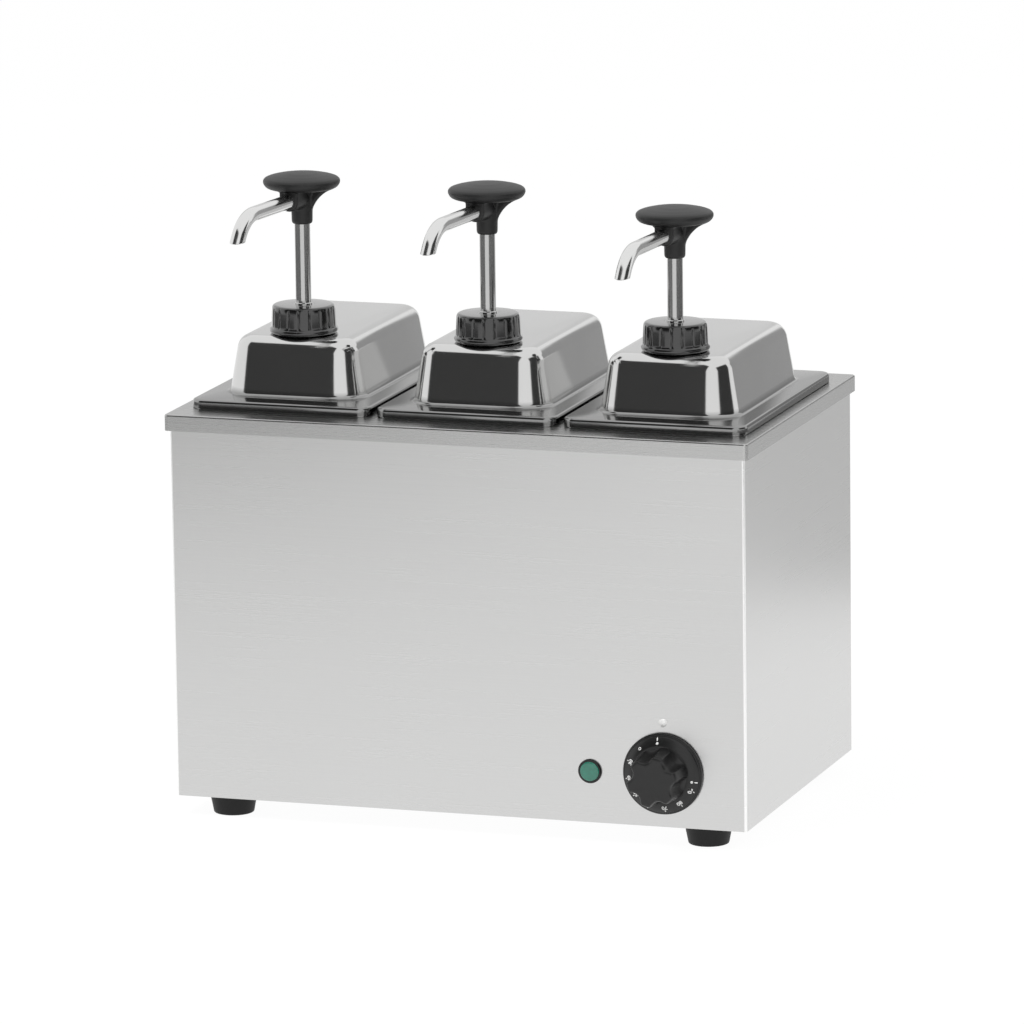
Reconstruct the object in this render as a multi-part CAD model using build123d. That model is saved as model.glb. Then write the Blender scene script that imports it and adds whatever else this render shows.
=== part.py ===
from build123d import *
from math import atan, cos, degrees, radians, sin, tan
import os

os.makedirs("parts", exist_ok=True)

# Countertop warmer for three heated toppings. Each topping stands in its own
# gastronorm 1/4 pan, under a domed lid that carries a push pump.
# Millimetres. X runs along the front from left to right, Y runs from the front to
# the back, Z is up. The pieces are drawn round the middle of the cabinet. On output
# they move by CENTRE_SHIFT, so that the origin is on the table, under the middle of the
# whole outline with the spouts and the cable gland.

# ---------------------------------------------------------------- driving sizes
# Pans and lids
PAN_COUNT = 3
LID_GAP = 5.0
PAN_DEPTH = 200.0
PAN_RIM_HEIGHT = 7.0
PAN_BODY_WIDTH = 137.0
PAN_BODY_LENGTH = 240.0
PAN_RIM_WIDTH = 12.5
PAN_TAPER = 1.5
PAN_CORNER_R = 25.0
PAN_FLOOR_R = 20.0
PAN_SHEET = 1.0
PAN_RIM_CORNER_R = 10.5

LID_SHEET = 1.0
LID_CORNER_R = 12.0
LID_EDGE_R = 2.4
LID_RIM_FIT = 0.5
LID_SKIRT_GAP = 0.6
DOME_WIDTH = 124.0
DOME_FRONT = 28.5
DOME_BACK = 26.0
DOME_HEIGHT = 50.0
DOME_DRAFT = 10.0
DOME_CORNER_R = 28.0
DOME_TOP_R = 12.0
DOME_FOOT_R = 4.0

# Cabinet
SIDE_MARGIN = 12.0
FRONT_MARGIN = 31.5
PLATE_SHEET = 1.5
LIP_HEIGHT = 14.0
LIP_OVERHANG = 4.0
PLATE_CORNER_R = 4.0
BODY_HEIGHT = 320.0
WRAP_SHEET = 1.2
WRAP_BEND_R = 2.5
FLANGE_WIDTH = 15.0
BASE_SHEET = 1.5
PANEL_FIT = 0.3
OPENING_FIT = 2.0
FOOT_HEIGHT = 18.0
FOOT_TOP_R = 20.8
FOOT_BOTTOM_R = 17.3
FOOT_SIDE_INSET = 42.0
FOOT_FRONT_INSET = 28.0
VENT_COUNT = 8
VENT_LENGTH = 60.0
VENT_WIDTH = 5.0
VENT_PITCH = 14.0

# Water bath under the pans
WELL_SHEET = 1.0
WELL_FIT = 2.5
WELL_FLOOR_GAP = 14.0
WELL_CORNER_R = 18.0
WELL_FLOOR_R = 8.0
INSULATION = 8.0
INSULATION_FIT = 0.5
INSULATION_DROP = 8.0
SEAT_GAP = 0.3

# Heating
ELEMENT_R = 3.25
ELEMENT_PASSES = 4
ELEMENT_PITCH = 50.0
ELEMENT_LENGTH = 380.0
ELEMENT_TAIL = 22.0
STRAP_COUNT = 3
STRAP_PITCH = 130.0
STRAP_WIDTH = 16.0
STRAP_SHEET = 1.5
BULB_R = 3.5
BULB_LENGTH = 90.0
CAPILLARY_R = 1.2
CAPILLARY_RISE = 12.0

# Controls on the front, measured from the body's right edge and bottom edge
DIAL_FROM_SIDE = 73.0
CONTROL_HEIGHT = 46.5
DIAL_R = 35.0
DIAL_FACE_R = 30.0
DIAL_SKIRT = 8.0
DIAL_GAP = 1.0
GRIP_R = 24.5
GRIP_FACE_R = 21.5
GRIP_HEIGHT = 27.0
GRIP_SCALLOPS = 6
GRIP_SCALLOP_R = 9.0
GRIP_SCALLOP_DEPTH = 5.0
SHAFT_R = 3.0
SHAFT_FIT = 0.05
THERMOSTAT_SIZE = 42.0
THERMOSTAT_DEPTH = 30.0
THERMOSTAT_COLLAR = 2.0
SHAFT_ENGAGED = 13.0
SHAFT_FLAT = 0.6
SHAFT_END_PLAY = 1.0
LAMP_FROM_SIDE = 138.0
LAMP_BELOW_DIAL = 2.0
LAMP_RIM_R = 10.4
LAMP_RIM_DEPTH = 2.0
LAMP_LENS_R = 8.4
LAMP_LENS_RISE = 2.0
LAMP_BODY_R = 7.5
LAMP_BODY_DEPTH = 28.0
LAMP_TAB_SHEET = 0.8
LAMP_TAB_WIDTH = 5.0
LAMP_TAB_LENGTH = 7.0
LAMP_TAB_OFFSET = 3.5
MARKER_ABOVE_DIAL = 43.5
MARKER_R = 3.7
MARKER_RISE = 1.6

# Mains entry on the back
GLAND_X = 150.0
GLAND_Z = 60.0
GLAND_HEX = 20.0
GLAND_BORE_R = 4.0
GLAND_THREAD_R = 8.0
GLAND_THREAD = 12.0
GLAND_BODY = 7.0
GLAND_DOME = 9.0
TERMINAL_SIZE = (46.0, 22.0, 18.0)
TERMINAL_FROM_BACK = 45.0
TERMINAL_WAYS = 3

# Screws
BACK_SCREW_R = 2.0
BACK_SCREW_HEAD_R = 4.0
BACK_SCREW_HEAD = 2.2
FOOT_SCREW_R = 2.5
FOOT_SCREW_HEAD_R = 4.75
FOOT_SCREW_HEAD = 3.0
SCREW_FIT = 0.3

# Push pumps. The third pump gives a smaller portion, so its head stands lower.
PUMP_FROM_DOME_FRONT = 40.0
ROD_EXPOSED = (70.0, 68.0, 54.5)
HEAD_TURN = (6.7, 5.3, 3.6)
STROKE = (52.0, 52.0, 38.0)
ROD_R = 6.7
ROD_BORE_R = 4.8
ROD_FIT = 0.06
ROD_NOTCH = 2.5
STOP_COLLAR_R = 10.0
STOP_COLLAR = 4.0
CAP_R = 28.0
CAP_RING_R = 29.6
CAP_RING_HEIGHT = 5.0
CAP_HEIGHT = 25.0
CAP_TOP_SHEET = 4.0
CAP_RIBS = 18
CAP_GROOVE_R = 2.6
CAP_GROOVE_DEPTH = 1.1
NECK_R = 17.0
NECK_FIT = 0.3
BARREL_R = 16.0
BARREL_BORE_R = 13.0
BARREL_FLANGE_R = 20.0
BARREL_FLANGE = 3.0
BUSH_R = 9.0
BUSH_FLANGE_R = 15.0
BUSH_FLANGE = 3.0
BUSH_RING_R = 7.6
BUSH_RING = 1.6
BUSH_SPIGOT = 6.0
BUSH_SPIGOT_FIT = 0.3
VALVE_ABOVE_FLOOR = 8.0
VALVE_R = 17.5
VALVE_FLOOR = 4.0
VALVE_SOCKET = 10.0
VALVE_INLET_R = 4.0
VALVE_PIN_R = 0.8
VALVE_ROOF = 2.0
VALVE_NOTCH = 5.0
SUCTION_BALL_R = 6.0
CAGE_FIT = 2.5
BALL_LIFT = 3.0
BALL_GAP = 0.3
PISTON_R = 12.94
PISTON_HEIGHT = 24.0
PISTON_SOCKET = 8.0
PISTON_INLET_R = 3.5
PISTON_FLOOR = 4.0
PISTON_LIP = 4.0
PISTON_WAIST_R = 11.4
DISCHARGE_BALL_R = 5.4
SPRING_R = 10.2
SPRING_WIRE_R = 0.9
SPRING_TURNS = 7
SPRING_CLEARANCE = 1.0

# Pump head
KNOB_R = 33.0
KNOB_BASE_R = 30.0
KNOB_RIM = 9.0
KNOB_CROWN = 4.3
KNOB_EDGE_R = 1.8
KNOB_HEIGHT = 44.3
NECK_OUTER_R = 8.9
NECK_TOP_R = 10.0
BOSS_R = 8.9
BOSS_LENGTH = 27.0
ARM_ABOVE_NECK = 22.5
FIN_THICKNESS = 4.0
FIN_FOOT = 11.5
FIN_HOLLOW_R = 32.0
HEAD_SOCKET = 15.0
CHAMBER_R = 5.0
SPOUT_R = 6.4
SPOUT_BORE_R = 5.2
SPOUT_ROOT = 10.0
SPOUT_STRAIGHT = 92.0
SPOUT_BEND_R = 42.0
SPOUT_BEND_ANGLE = 48.0
SPOUT_TIP = 7.0
SPOUT_TRIM = 8.0

# ---------------------------------------------------------------- derived places
LID_WIDTH = PAN_BODY_WIDTH + 2 * PAN_RIM_WIDTH
LID_LENGTH = PAN_BODY_LENGTH + 2 * PAN_RIM_WIDTH
PITCH = LID_WIDTH + LID_GAP
PLATE_WIDTH = PAN_COUNT * LID_WIDTH + (PAN_COUNT - 1) * LID_GAP + 2 * SIDE_MARGIN
PLATE_DEPTH = LID_LENGTH + 2 * FRONT_MARGIN
BODY_WIDTH = PLATE_WIDTH - 2 * LIP_OVERHANG
BODY_DEPTH = PLATE_DEPTH - 2 * LIP_OVERHANG
BODY_RIGHT = BODY_WIDTH / 2
BODY_FRONT = -BODY_DEPTH / 2
BODY_BACK = BODY_DEPTH / 2
BODY_BOTTOM = FOOT_HEIGHT
LIP_BOTTOM = BODY_BOTTOM + BODY_HEIGHT
PLATE_TOP = LIP_BOTTOM + LIP_HEIGHT
PLATE_UNDER = PLATE_TOP - PLATE_SHEET
RIM_TOP = PLATE_TOP + PAN_RIM_HEIGHT
LID_TOP = RIM_TOP + LID_SHEET
DOME_TOP = LID_TOP + DOME_HEIGHT
DOME_UNDER = DOME_TOP - LID_SHEET
DOME_FRONT_Y = -LID_LENGTH / 2 + DOME_FRONT
DOME_BACK_Y = LID_LENGTH / 2 - DOME_BACK
DOME_LENGTH = DOME_BACK_Y - DOME_FRONT_Y
DOME_Y = (DOME_FRONT_Y + DOME_BACK_Y) / 2
PUMP_Y = DOME_FRONT_Y + PUMP_FROM_DOME_FRONT
PAN_FLOOR = RIM_TOP - PAN_DEPTH + PAN_SHEET
WELL_FLOOR = RIM_TOP - PAN_DEPTH - WELL_FLOOR_GAP
WELL_UNDER = WELL_FLOOR - WELL_SHEET
OPENING_WIDTH = PAN_BODY_WIDTH + 2 * OPENING_FIT
OPENING_LENGTH = PAN_BODY_LENGTH + 2 * OPENING_FIT
WELL_WIDTH = (PAN_COUNT - 1) * PITCH + OPENING_WIDTH + 2 * WELL_FIT
WELL_LENGTH = OPENING_LENGTH + 2 * WELL_FIT
WELL_FLANGE = PAN_RIM_WIDTH - OPENING_FIT - WELL_FIT
DIAL_X = BODY_RIGHT - DIAL_FROM_SIDE
CONTROL_Z = BODY_BOTTOM + CONTROL_HEIGHT
LAMP_X = BODY_RIGHT - LAMP_FROM_SIDE
LAMP_Z = CONTROL_Z - LAMP_BELOW_DIAL
PANEL_INNER = BODY_FRONT + WRAP_SHEET
BASE_TOP = BODY_BOTTOM + BASE_SHEET
CAP_TOP = DOME_TOP + CAP_HEIGHT
BUSH_SEAT = CAP_TOP - CAP_TOP_SHEET - BUSH_FLANGE
VALVE_BOTTOM = PAN_FLOOR + VALVE_ABOVE_FLOOR
SUCTION_SEAT = (SUCTION_BALL_R**2 - VALVE_INLET_R**2) ** 0.5 + BALL_GAP
SUCTION_BALL_Z = VALVE_BOTTOM + VALVE_FLOOR + SUCTION_SEAT
VALVE_PIN_Z = SUCTION_BALL_Z + SUCTION_BALL_R + BALL_LIFT + BALL_GAP + VALVE_PIN_R
BARREL_BOTTOM = VALVE_PIN_Z + VALVE_PIN_R + VALVE_ROOF
VALVE_TOP = BARREL_BOTTOM + VALVE_SOCKET
SPRING_BOTTOM = BARREL_BOTTOM + SPRING_WIRE_R
ELEMENT_Z = WELL_UNDER - SEAT_GAP - ELEMENT_R
DIAL_REACH = -BODY_FRONT + DIAL_GAP + DIAL_SKIRT + GRIP_HEIGHT
SPOUT_TURN = radians(SPOUT_BEND_ANGLE)
SPOUT_REACH = SPOUT_STRAIGHT + (SPOUT_BEND_R + SPOUT_R) * sin(SPOUT_TURN) + SPOUT_TIP * cos(SPOUT_TURN)
TIP_REACH = SPOUT_REACH * cos(radians(min(HEAD_TURN))) - PUMP_Y
GLAND_REACH = BODY_BACK + GLAND_BODY + GLAND_DOME
CENTRE_SHIFT = (max(DIAL_REACH, TIP_REACH) - GLAND_REACH) / 2


def lid_x(index):
    return (index - (PAN_COUNT - 1) / 2) * PITCH


def write(shape, name):
    shape = Pos(0, CENTRE_SHIFT, 0) * shape
    shape.label = name
    export_step(shape, "parts/" + name + ".step")


def cylinder(radius, height, x=0.0, y=0.0, z=0.0):
    """Upright cylinder whose lower face is at z."""
    return Pos(x, y, z + height / 2) * Cylinder(radius, height)


def cone(low_radius, high_radius, height, z=0.0):
    """Upright cone frustum whose lower face is at z."""
    return Pos(0, 0, z + height / 2) * Cone(low_radius, high_radius, height)


def block(x0, x1, y0, y1, z0, z1):
    """Box between two opposite corners."""
    centre = Pos((x0 + x1) / 2, (y0 + y1) / 2, (z0 + z1) / 2)
    return centre * Box(x1 - x0, y1 - y0, z1 - z0)


def rounded_slab(width, length, radius, z0, z1, x=0.0, y=0.0):
    outline = Pos(x, y, z0) * RectangleRounded(width, length, radius)
    return extrude(outline, z1 - z0)


def tub(width, length, radius, floor_z, top_z, taper, floor_r):
    """Solid of a drawn tub: wide at the top, tapering down to a rounded floor."""
    outline = Pos(0, 0, top_z) * RectangleRounded(width, length, radius)
    body = extrude(outline, top_z - floor_z, dir=(0, 0, -1), taper=taper)
    floor = body.faces().sort_by(Axis.Z)[0]
    return fillet(floor.edges(), floor_r)


def along_y(shape, x, y, z):
    """Turns a shape made along +Z so that its +Z points to the front, at (x, y, z)."""
    return Pos(x, y, z) * Rot(90, 0, 0) * shape


# ------------------------------------------------------------------------ cabinet
def cabinet_wrap():
    """Front and both sides folded from one sheet, with flanges for base and back."""
    height = PLATE_UNDER - BODY_BOTTOM
    outer = rounded_slab(BODY_WIDTH, 2 * BODY_DEPTH, WRAP_BEND_R, BODY_BOTTOM, PLATE_UNDER)
    outer = Pos(0, BODY_DEPTH / 2, 0) * outer
    inner = rounded_slab(
        BODY_WIDTH - 2 * WRAP_SHEET,
        2 * BODY_DEPTH - 2 * WRAP_SHEET,
        WRAP_BEND_R - WRAP_SHEET,
        BODY_BOTTOM,
        PLATE_UNDER,
    )
    inner = Pos(0, BODY_DEPTH / 2, 0) * inner
    back_line = BODY_BACK - WRAP_SHEET
    cut = block(-BODY_WIDTH, BODY_WIDTH, back_line, 3 * BODY_DEPTH, 0, 2 * height)
    wall = outer - inner - cut
    inner_x = BODY_RIGHT - WRAP_SHEET
    low = BASE_TOP
    high = low + WRAP_SHEET
    flanges = [
        block(-inner_x, inner_x, PANEL_INNER, PANEL_INNER + FLANGE_WIDTH, low, high),
    ]
    for side in (-1, 1):
        edge = sorted((side * inner_x, side * (inner_x - FLANGE_WIDTH)))
        flanges.append(block(*edge, PANEL_INNER, back_line, low, high))
        flanges.append(block(*edge, back_line - WRAP_SHEET, back_line, low, PLATE_UNDER))
    wrap = wall
    for flange in flanges:
        wrap += flange
    wrap -= along_y(Cylinder(SHAFT_R + 2, 10 * WRAP_SHEET), DIAL_X, BODY_FRONT, CONTROL_Z)
    wrap -= along_y(Cylinder(LAMP_BODY_R + SCREW_FIT, 10 * WRAP_SHEET), LAMP_X, BODY_FRONT, LAMP_Z)
    marker_z = CONTROL_Z + MARKER_ABOVE_DIAL
    wrap -= along_y(Cylinder(MARKER_R / 2 + SCREW_FIT, 10 * WRAP_SHEET), DIAL_X, BODY_FRONT, marker_z)
    for x, z in back_screw_places():
        wrap -= along_y(Cylinder(BACK_SCREW_R + SCREW_FIT, 10 * WRAP_SHEET), x, BODY_BACK, z)
    return wrap


def back_screw_places():
    x = BODY_RIGHT - WRAP_SHEET - FLANGE_WIDTH / 2
    span = PLATE_UNDER - BODY_BOTTOM
    heights = [BODY_BOTTOM + span * share for share in (0.12, 0.5, 0.88)]
    return [(side * x, z) for side in (-1, 1) for z in heights]


def back_panel():
    half = BODY_RIGHT - WRAP_SHEET - PANEL_FIT
    y0 = BODY_BACK - WRAP_SHEET
    panel = block(-half, half, y0, BODY_BACK, BASE_TOP, PLATE_UNDER - PANEL_FIT)
    corners = panel.edges().filter_by(Axis.Y)
    panel = fillet(corners, WRAP_BEND_R)
    for x, z in back_screw_places():
        panel -= along_y(Cylinder(BACK_SCREW_R + SCREW_FIT, 10 * WRAP_SHEET), x, BODY_BACK, z)
    hole = Cylinder(GLAND_THREAD_R + SCREW_FIT, 10 * WRAP_SHEET)
    return panel - along_y(hole, GLAND_X, BODY_BACK, GLAND_Z)


def foot_places():
    x = BODY_RIGHT - FOOT_SIDE_INSET
    y = BODY_DEPTH / 2 - FOOT_FRONT_INSET
    return [(i * x, j * y) for i in (-1, 1) for j in (-1, 1)]


def base_plate():
    half_x = BODY_RIGHT - WRAP_SHEET - PANEL_FIT
    y0 = PANEL_INNER + PANEL_FIT
    y1 = BODY_BACK - PANEL_FIT
    plate = block(-half_x, half_x, y0, y1, BODY_BOTTOM, BASE_TOP)
    plate = fillet(plate.edges().filter_by(Axis.Z), WRAP_BEND_R)
    for x, y in foot_places():
        plate -= Pos(x, y, BODY_BOTTOM) * Cylinder(FOOT_SCREW_R + SCREW_FIT, 10 * BASE_SHEET)
    slot = extrude(SlotOverall(VENT_LENGTH, VENT_WIDTH, rotation=90), 10 * BASE_SHEET, both=True)
    for index in range(VENT_COUNT):
        x = (index - (VENT_COUNT - 1) / 2) * VENT_PITCH
        plate -= Pos(x, 0, BODY_BOTTOM) * slot
    return plate


def feet():
    places = foot_places()
    foot = cone(FOOT_BOTTOM_R, FOOT_TOP_R, FOOT_HEIGHT)
    foot = fillet(foot.edges().sort_by(Axis.Z)[0], 1.5)
    recess = cylinder(FOOT_SCREW_HEAD_R + 1.5, FOOT_HEIGHT / 2)
    bore = cylinder(FOOT_SCREW_R + SCREW_FIT, FOOT_HEIGHT)
    foot = foot - recess - bore
    return Compound([Pos(x, y, 0) * foot for x, y in places])


def foot_screws():
    seat = FOOT_HEIGHT / 2
    head = cylinder(FOOT_SCREW_HEAD_R, FOOT_SCREW_HEAD, z=seat - FOOT_SCREW_HEAD)
    head = fillet(head.edges().sort_by(Axis.Z)[0], 1.0)
    driver = extrude(Pos(0, 0, seat - FOOT_SCREW_HEAD) * RegularPolygon(2.2, 6), 1.8)
    nut_height = 4.0
    shank = cylinder(FOOT_SCREW_R, BASE_TOP + nut_height + 2 - seat, z=seat)
    nut = extrude(Pos(0, 0, BASE_TOP) * RegularPolygon(4.6, 6), nut_height)
    screw = head - driver + shank + nut
    return Compound([Pos(x, y, 0) * screw for x, y in foot_places()])


def back_screws():
    head = cylinder(BACK_SCREW_HEAD_R, BACK_SCREW_HEAD)
    head = fillet(head.edges().sort_by(Axis.Z)[-1], 1.4)
    cross = Box(4.6, 1.0, 2.4) + Box(1.0, 4.6, 2.4)
    shank = cylinder(BACK_SCREW_R, 8.0, z=-8.0)
    screw = head - Pos(0, 0, BACK_SCREW_HEAD) * cross + shank
    placed = []
    for x, z in back_screw_places():
        placed.append(Pos(x, BODY_BACK, z) * Rot(-90, 0, 0) * screw)
    return Compound(placed)


def top_plate():
    """Top sheet with a turned-down lip and one opening for each pan."""
    plate = rounded_slab(PLATE_WIDTH, PLATE_DEPTH, PLATE_CORNER_R, LIP_BOTTOM, PLATE_TOP)
    top_edges = plate.faces().sort_by(Axis.Z)[-1].edges()
    plate = fillet(top_edges, PLATE_SHEET)
    plate -= rounded_slab(
        PLATE_WIDTH - 2 * PLATE_SHEET,
        PLATE_DEPTH - 2 * PLATE_SHEET,
        PLATE_CORNER_R - PLATE_SHEET,
        LIP_BOTTOM,
        PLATE_UNDER,
    )
    for index in range(PAN_COUNT):
        plate -= rounded_slab(
            OPENING_WIDTH,
            OPENING_LENGTH,
            PAN_CORNER_R + OPENING_FIT,
            PLATE_UNDER - 1,
            PLATE_TOP + 1,
            x=lid_x(index),
        )
    return plate


# -------------------------------------------------------------- water bath, heat
def well_tank():
    outer = tub(
        WELL_WIDTH + 2 * WELL_SHEET,
        WELL_LENGTH + 2 * WELL_SHEET,
        WELL_CORNER_R + WELL_SHEET,
        WELL_UNDER,
        PLATE_UNDER,
        0.0,
        WELL_FLOOR_R + WELL_SHEET,
    )
    inner = tub(
        WELL_WIDTH, WELL_LENGTH, WELL_CORNER_R, WELL_FLOOR, PLATE_UNDER, 0.0, WELL_FLOOR_R
    )
    flange = rounded_slab(
        WELL_WIDTH + 2 * WELL_FLANGE,
        WELL_LENGTH + 2 * WELL_FLANGE,
        WELL_CORNER_R + WELL_FLANGE,
        PLATE_UNDER - WELL_SHEET,
        PLATE_UNDER,
    )
    return outer + flange - inner


def well_insulation():
    """Mineral wool blanket wrapped round the walls of the bath."""
    top = PLATE_UNDER - WELL_SHEET - INSULATION_DROP
    low = WELL_UNDER + WELL_FLOOR_R
    inner_width = WELL_WIDTH + 2 * (WELL_SHEET + INSULATION_FIT)
    inner_length = WELL_LENGTH + 2 * (WELL_SHEET + INSULATION_FIT)
    corner = WELL_CORNER_R + WELL_SHEET + INSULATION_FIT
    outer = rounded_slab(
        inner_width + 2 * INSULATION - 2 * INSULATION_FIT,
        inner_length + 2 * INSULATION,
        corner + INSULATION,
        low,
        top,
    )
    return outer - rounded_slab(inner_width, inner_length, corner, low, top)


def element_path():
    """Flat serpentine under the bath, with both ends turned down at the right."""
    half = ELEMENT_LENGTH / 2
    ys = [(i - (ELEMENT_PASSES - 1) / 2) * ELEMENT_PITCH for i in range(ELEMENT_PASSES)]
    tail_r = 4 * ELEMENT_R
    points = [(half, ys[0], ELEMENT_Z - ELEMENT_TAIL), (half, ys[0], ELEMENT_Z)]
    radii = [tail_r]
    for index in range(ELEMENT_PASSES - 1):
        turn = -half if index % 2 == 0 else half - ELEMENT_PITCH
        points += [(turn, ys[index], ELEMENT_Z), (turn, ys[index + 1], ELEMENT_Z)]
        radii += [0.45 * ELEMENT_PITCH, 0.45 * ELEMENT_PITCH]
    points += [(half, ys[-1], ELEMENT_Z), (half, ys[-1], ELEMENT_Z - ELEMENT_TAIL)]
    radii.append(tail_r)
    return FilletPolyline(*points, radius=radii)


def heating_element():
    path = element_path()
    profile = Plane(origin=path @ 0, z_dir=path % 0) * Circle(ELEMENT_R)
    return sweep(profile, path)


def element_straps():
    """Folded straps that hold the element up against the bath."""
    half = ELEMENT_PITCH * (ELEMENT_PASSES - 1) / 2 + ELEMENT_R + 8
    low = ELEMENT_Z - ELEMENT_R - SEAT_GAP
    strap = block(-STRAP_WIDTH / 2, STRAP_WIDTH / 2, -half, half, low - STRAP_SHEET, low)
    for side in (-1, 1):
        leg = sorted((side * half, side * (half - STRAP_SHEET)))
        strap += block(-STRAP_WIDTH / 2, STRAP_WIDTH / 2, *leg, low, WELL_UNDER)
    places = [(i - (STRAP_COUNT - 1) / 2) * STRAP_PITCH for i in range(STRAP_COUNT)]
    return Compound([Pos(x, 0, 0) * strap for x in places])


def thermostat_body():
    y1 = PANEL_INNER + THERMOSTAT_DEPTH
    half = THERMOSTAT_SIZE / 2
    z0 = CONTROL_Z - half
    y0 = PANEL_INNER + THERMOSTAT_COLLAR
    body = block(DIAL_X - half, DIAL_X + half, y0, y1, z0, z0 + THERMOSTAT_SIZE)
    body = fillet(body.edges().filter_by(Axis.Y), 3.0)
    collar = cylinder(SHAFT_R + 6, THERMOSTAT_COLLAR)
    body += along_y(collar, DIAL_X, PANEL_INNER + THERMOSTAT_COLLAR, CONTROL_Z)
    depth = SHAFT_ENGAGED + SHAFT_END_PLAY
    bore = cylinder(SHAFT_R + SHAFT_FIT, depth + 2 * THERMOSTAT_COLLAR)
    return body - along_y(bore, DIAL_X, PANEL_INNER + THERMOSTAT_COLLAR + depth, CONTROL_Z)


def thermostat_shaft():
    """Spindle with a flat, from inside the thermostat out to the dial's hub."""
    back = PANEL_INNER + THERMOSTAT_COLLAR + SHAFT_ENGAGED
    front = BODY_FRONT - DIAL_GAP - DIAL_SKIRT - GRIP_HEIGHT / 2
    shaft = along_y(cylinder(SHAFT_R, back - front), DIAL_X, back, CONTROL_Z)
    flat_back = BODY_FRONT - DIAL_GAP
    flat = block(
        DIAL_X - SHAFT_R,
        DIAL_X + SHAFT_R,
        front - 1,
        flat_back,
        CONTROL_Z + SHAFT_FLAT * SHAFT_R,
        CONTROL_Z + SHAFT_R,
    )
    return shaft - flat


def thermostat_bulb():
    """Sensing bulb under the bath and the capillary that joins it to the thermostat."""
    bulb_z = WELL_UNDER - SEAT_GAP - BULB_R
    bulb_y = -ELEMENT_PITCH
    bulb_x = STRAP_PITCH - STRAP_WIDTH
    bulb = Pos(bulb_x, bulb_y, bulb_z) * Rot(0, -90, 0) * cylinder(BULB_R, BULB_LENGTH)
    bulb = fillet(bulb.edges().filter_by(GeomType.CIRCLE), 1.5)
    top = CONTROL_Z + THERMOSTAT_SIZE / 2
    y = PANEL_INNER + THERMOSTAT_DEPTH / 2
    rise = CAPILLARY_RISE
    corner_x = DIAL_X
    points = [
        (corner_x, y, top),
        (corner_x, y, top + rise),
        (corner_x, bulb_y, bulb_z - 2 * rise),
        (corner_x - 2 * rise, bulb_y, bulb_z),
        (bulb_x - 1, bulb_y, bulb_z),
    ]
    path = FilletPolyline(*points, radius=[4.0, 6.0, 6.0])
    profile = Plane(origin=path @ 0, z_dir=path % 0) * Circle(CAPILLARY_R)
    return bulb + sweep(profile, path)


# ----------------------------------------------------------------------- controls
def dial_grip():
    """Star grip with hollow scallops, narrower at its face than at its foot."""
    lean = degrees(atan((GRIP_R - GRIP_FACE_R) / GRIP_HEIGHT))
    grip = extrude(Circle(GRIP_R), GRIP_HEIGHT, taper=lean)
    centre = GRIP_R + GRIP_SCALLOP_R - GRIP_SCALLOP_DEPTH
    for index in range(GRIP_SCALLOPS):
        angle = 360 / GRIP_SCALLOPS * index + 90
        hollow = Pos(centre, 0, GRIP_HEIGHT / 2) * Cylinder(GRIP_SCALLOP_R, 2 * GRIP_HEIGHT)
        grip -= Rot(0, 0, angle) * hollow
    face = grip.faces().sort_by(Axis.Z)[-1]
    return fillet(face.edges(), 1.0)


def control_dial():
    """Turning dial: sloping skirt for the scale, with the star grip on its front."""
    skirt = cone(DIAL_R, DIAL_FACE_R, DIAL_SKIRT - 2, z=2) + cylinder(DIAL_R, 2)
    skirt = fillet(skirt.edges().filter_by(GeomType.CIRCLE).sort_by(Axis.Z)[-1], 1.0)
    dial = skirt + Pos(0, 0, DIAL_SKIRT) * dial_grip()
    under = cylinder(DIAL_R - 2.5, DIAL_SKIRT / 2)
    hub = cylinder(SHAFT_R + 4, DIAL_SKIRT / 2)
    bore = cylinder(SHAFT_R, DIAL_SKIRT + GRIP_HEIGHT / 2)
    flat = block(-SHAFT_R, SHAFT_R, SHAFT_FLAT * SHAFT_R, SHAFT_R, 0, DIAL_SKIRT + GRIP_HEIGHT)
    dial = dial - (under - hub) - (bore - flat)
    return along_y(dial, DIAL_X, BODY_FRONT - DIAL_GAP, CONTROL_Z)


def pilot_lamp_body():
    rim = cylinder(LAMP_RIM_R, LAMP_RIM_DEPTH)
    rim = chamfer(rim.edges().sort_by(Axis.Z)[-1], 0.8)
    housing = cylinder(LAMP_BODY_R, LAMP_BODY_DEPTH, z=-LAMP_BODY_DEPTH)
    pocket = cylinder(LAMP_LENS_R, LAMP_RIM_DEPTH - 1.0, z=1.0)
    hollow = cylinder(LAMP_BODY_R - 1.5, LAMP_BODY_DEPTH - 3, z=-LAMP_BODY_DEPTH + 4)
    nut = extrude(Pos(0, 0, -WRAP_SHEET - 4) * RegularPolygon(11.0, 6), 4.0)
    tab = Box(LAMP_TAB_SHEET, LAMP_TAB_WIDTH, LAMP_TAB_LENGTH)
    tabs = Pos(-LAMP_TAB_OFFSET, 0, 0) * tab + Pos(LAMP_TAB_OFFSET, 0, 0) * tab
    tabs = Pos(0, 0, -LAMP_BODY_DEPTH - LAMP_TAB_LENGTH / 2) * tabs
    lamp = rim + housing + nut + tabs - pocket - hollow
    return along_y(lamp, LAMP_X, BODY_FRONT, LAMP_Z)


def pilot_lamp_lens():
    lens = cylinder(LAMP_LENS_R, LAMP_LENS_RISE, z=1.0)
    lens = fillet(lens.edges().sort_by(Axis.Z)[-1], 1.2)
    return along_y(lens, LAMP_X, BODY_FRONT, LAMP_Z)


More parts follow.
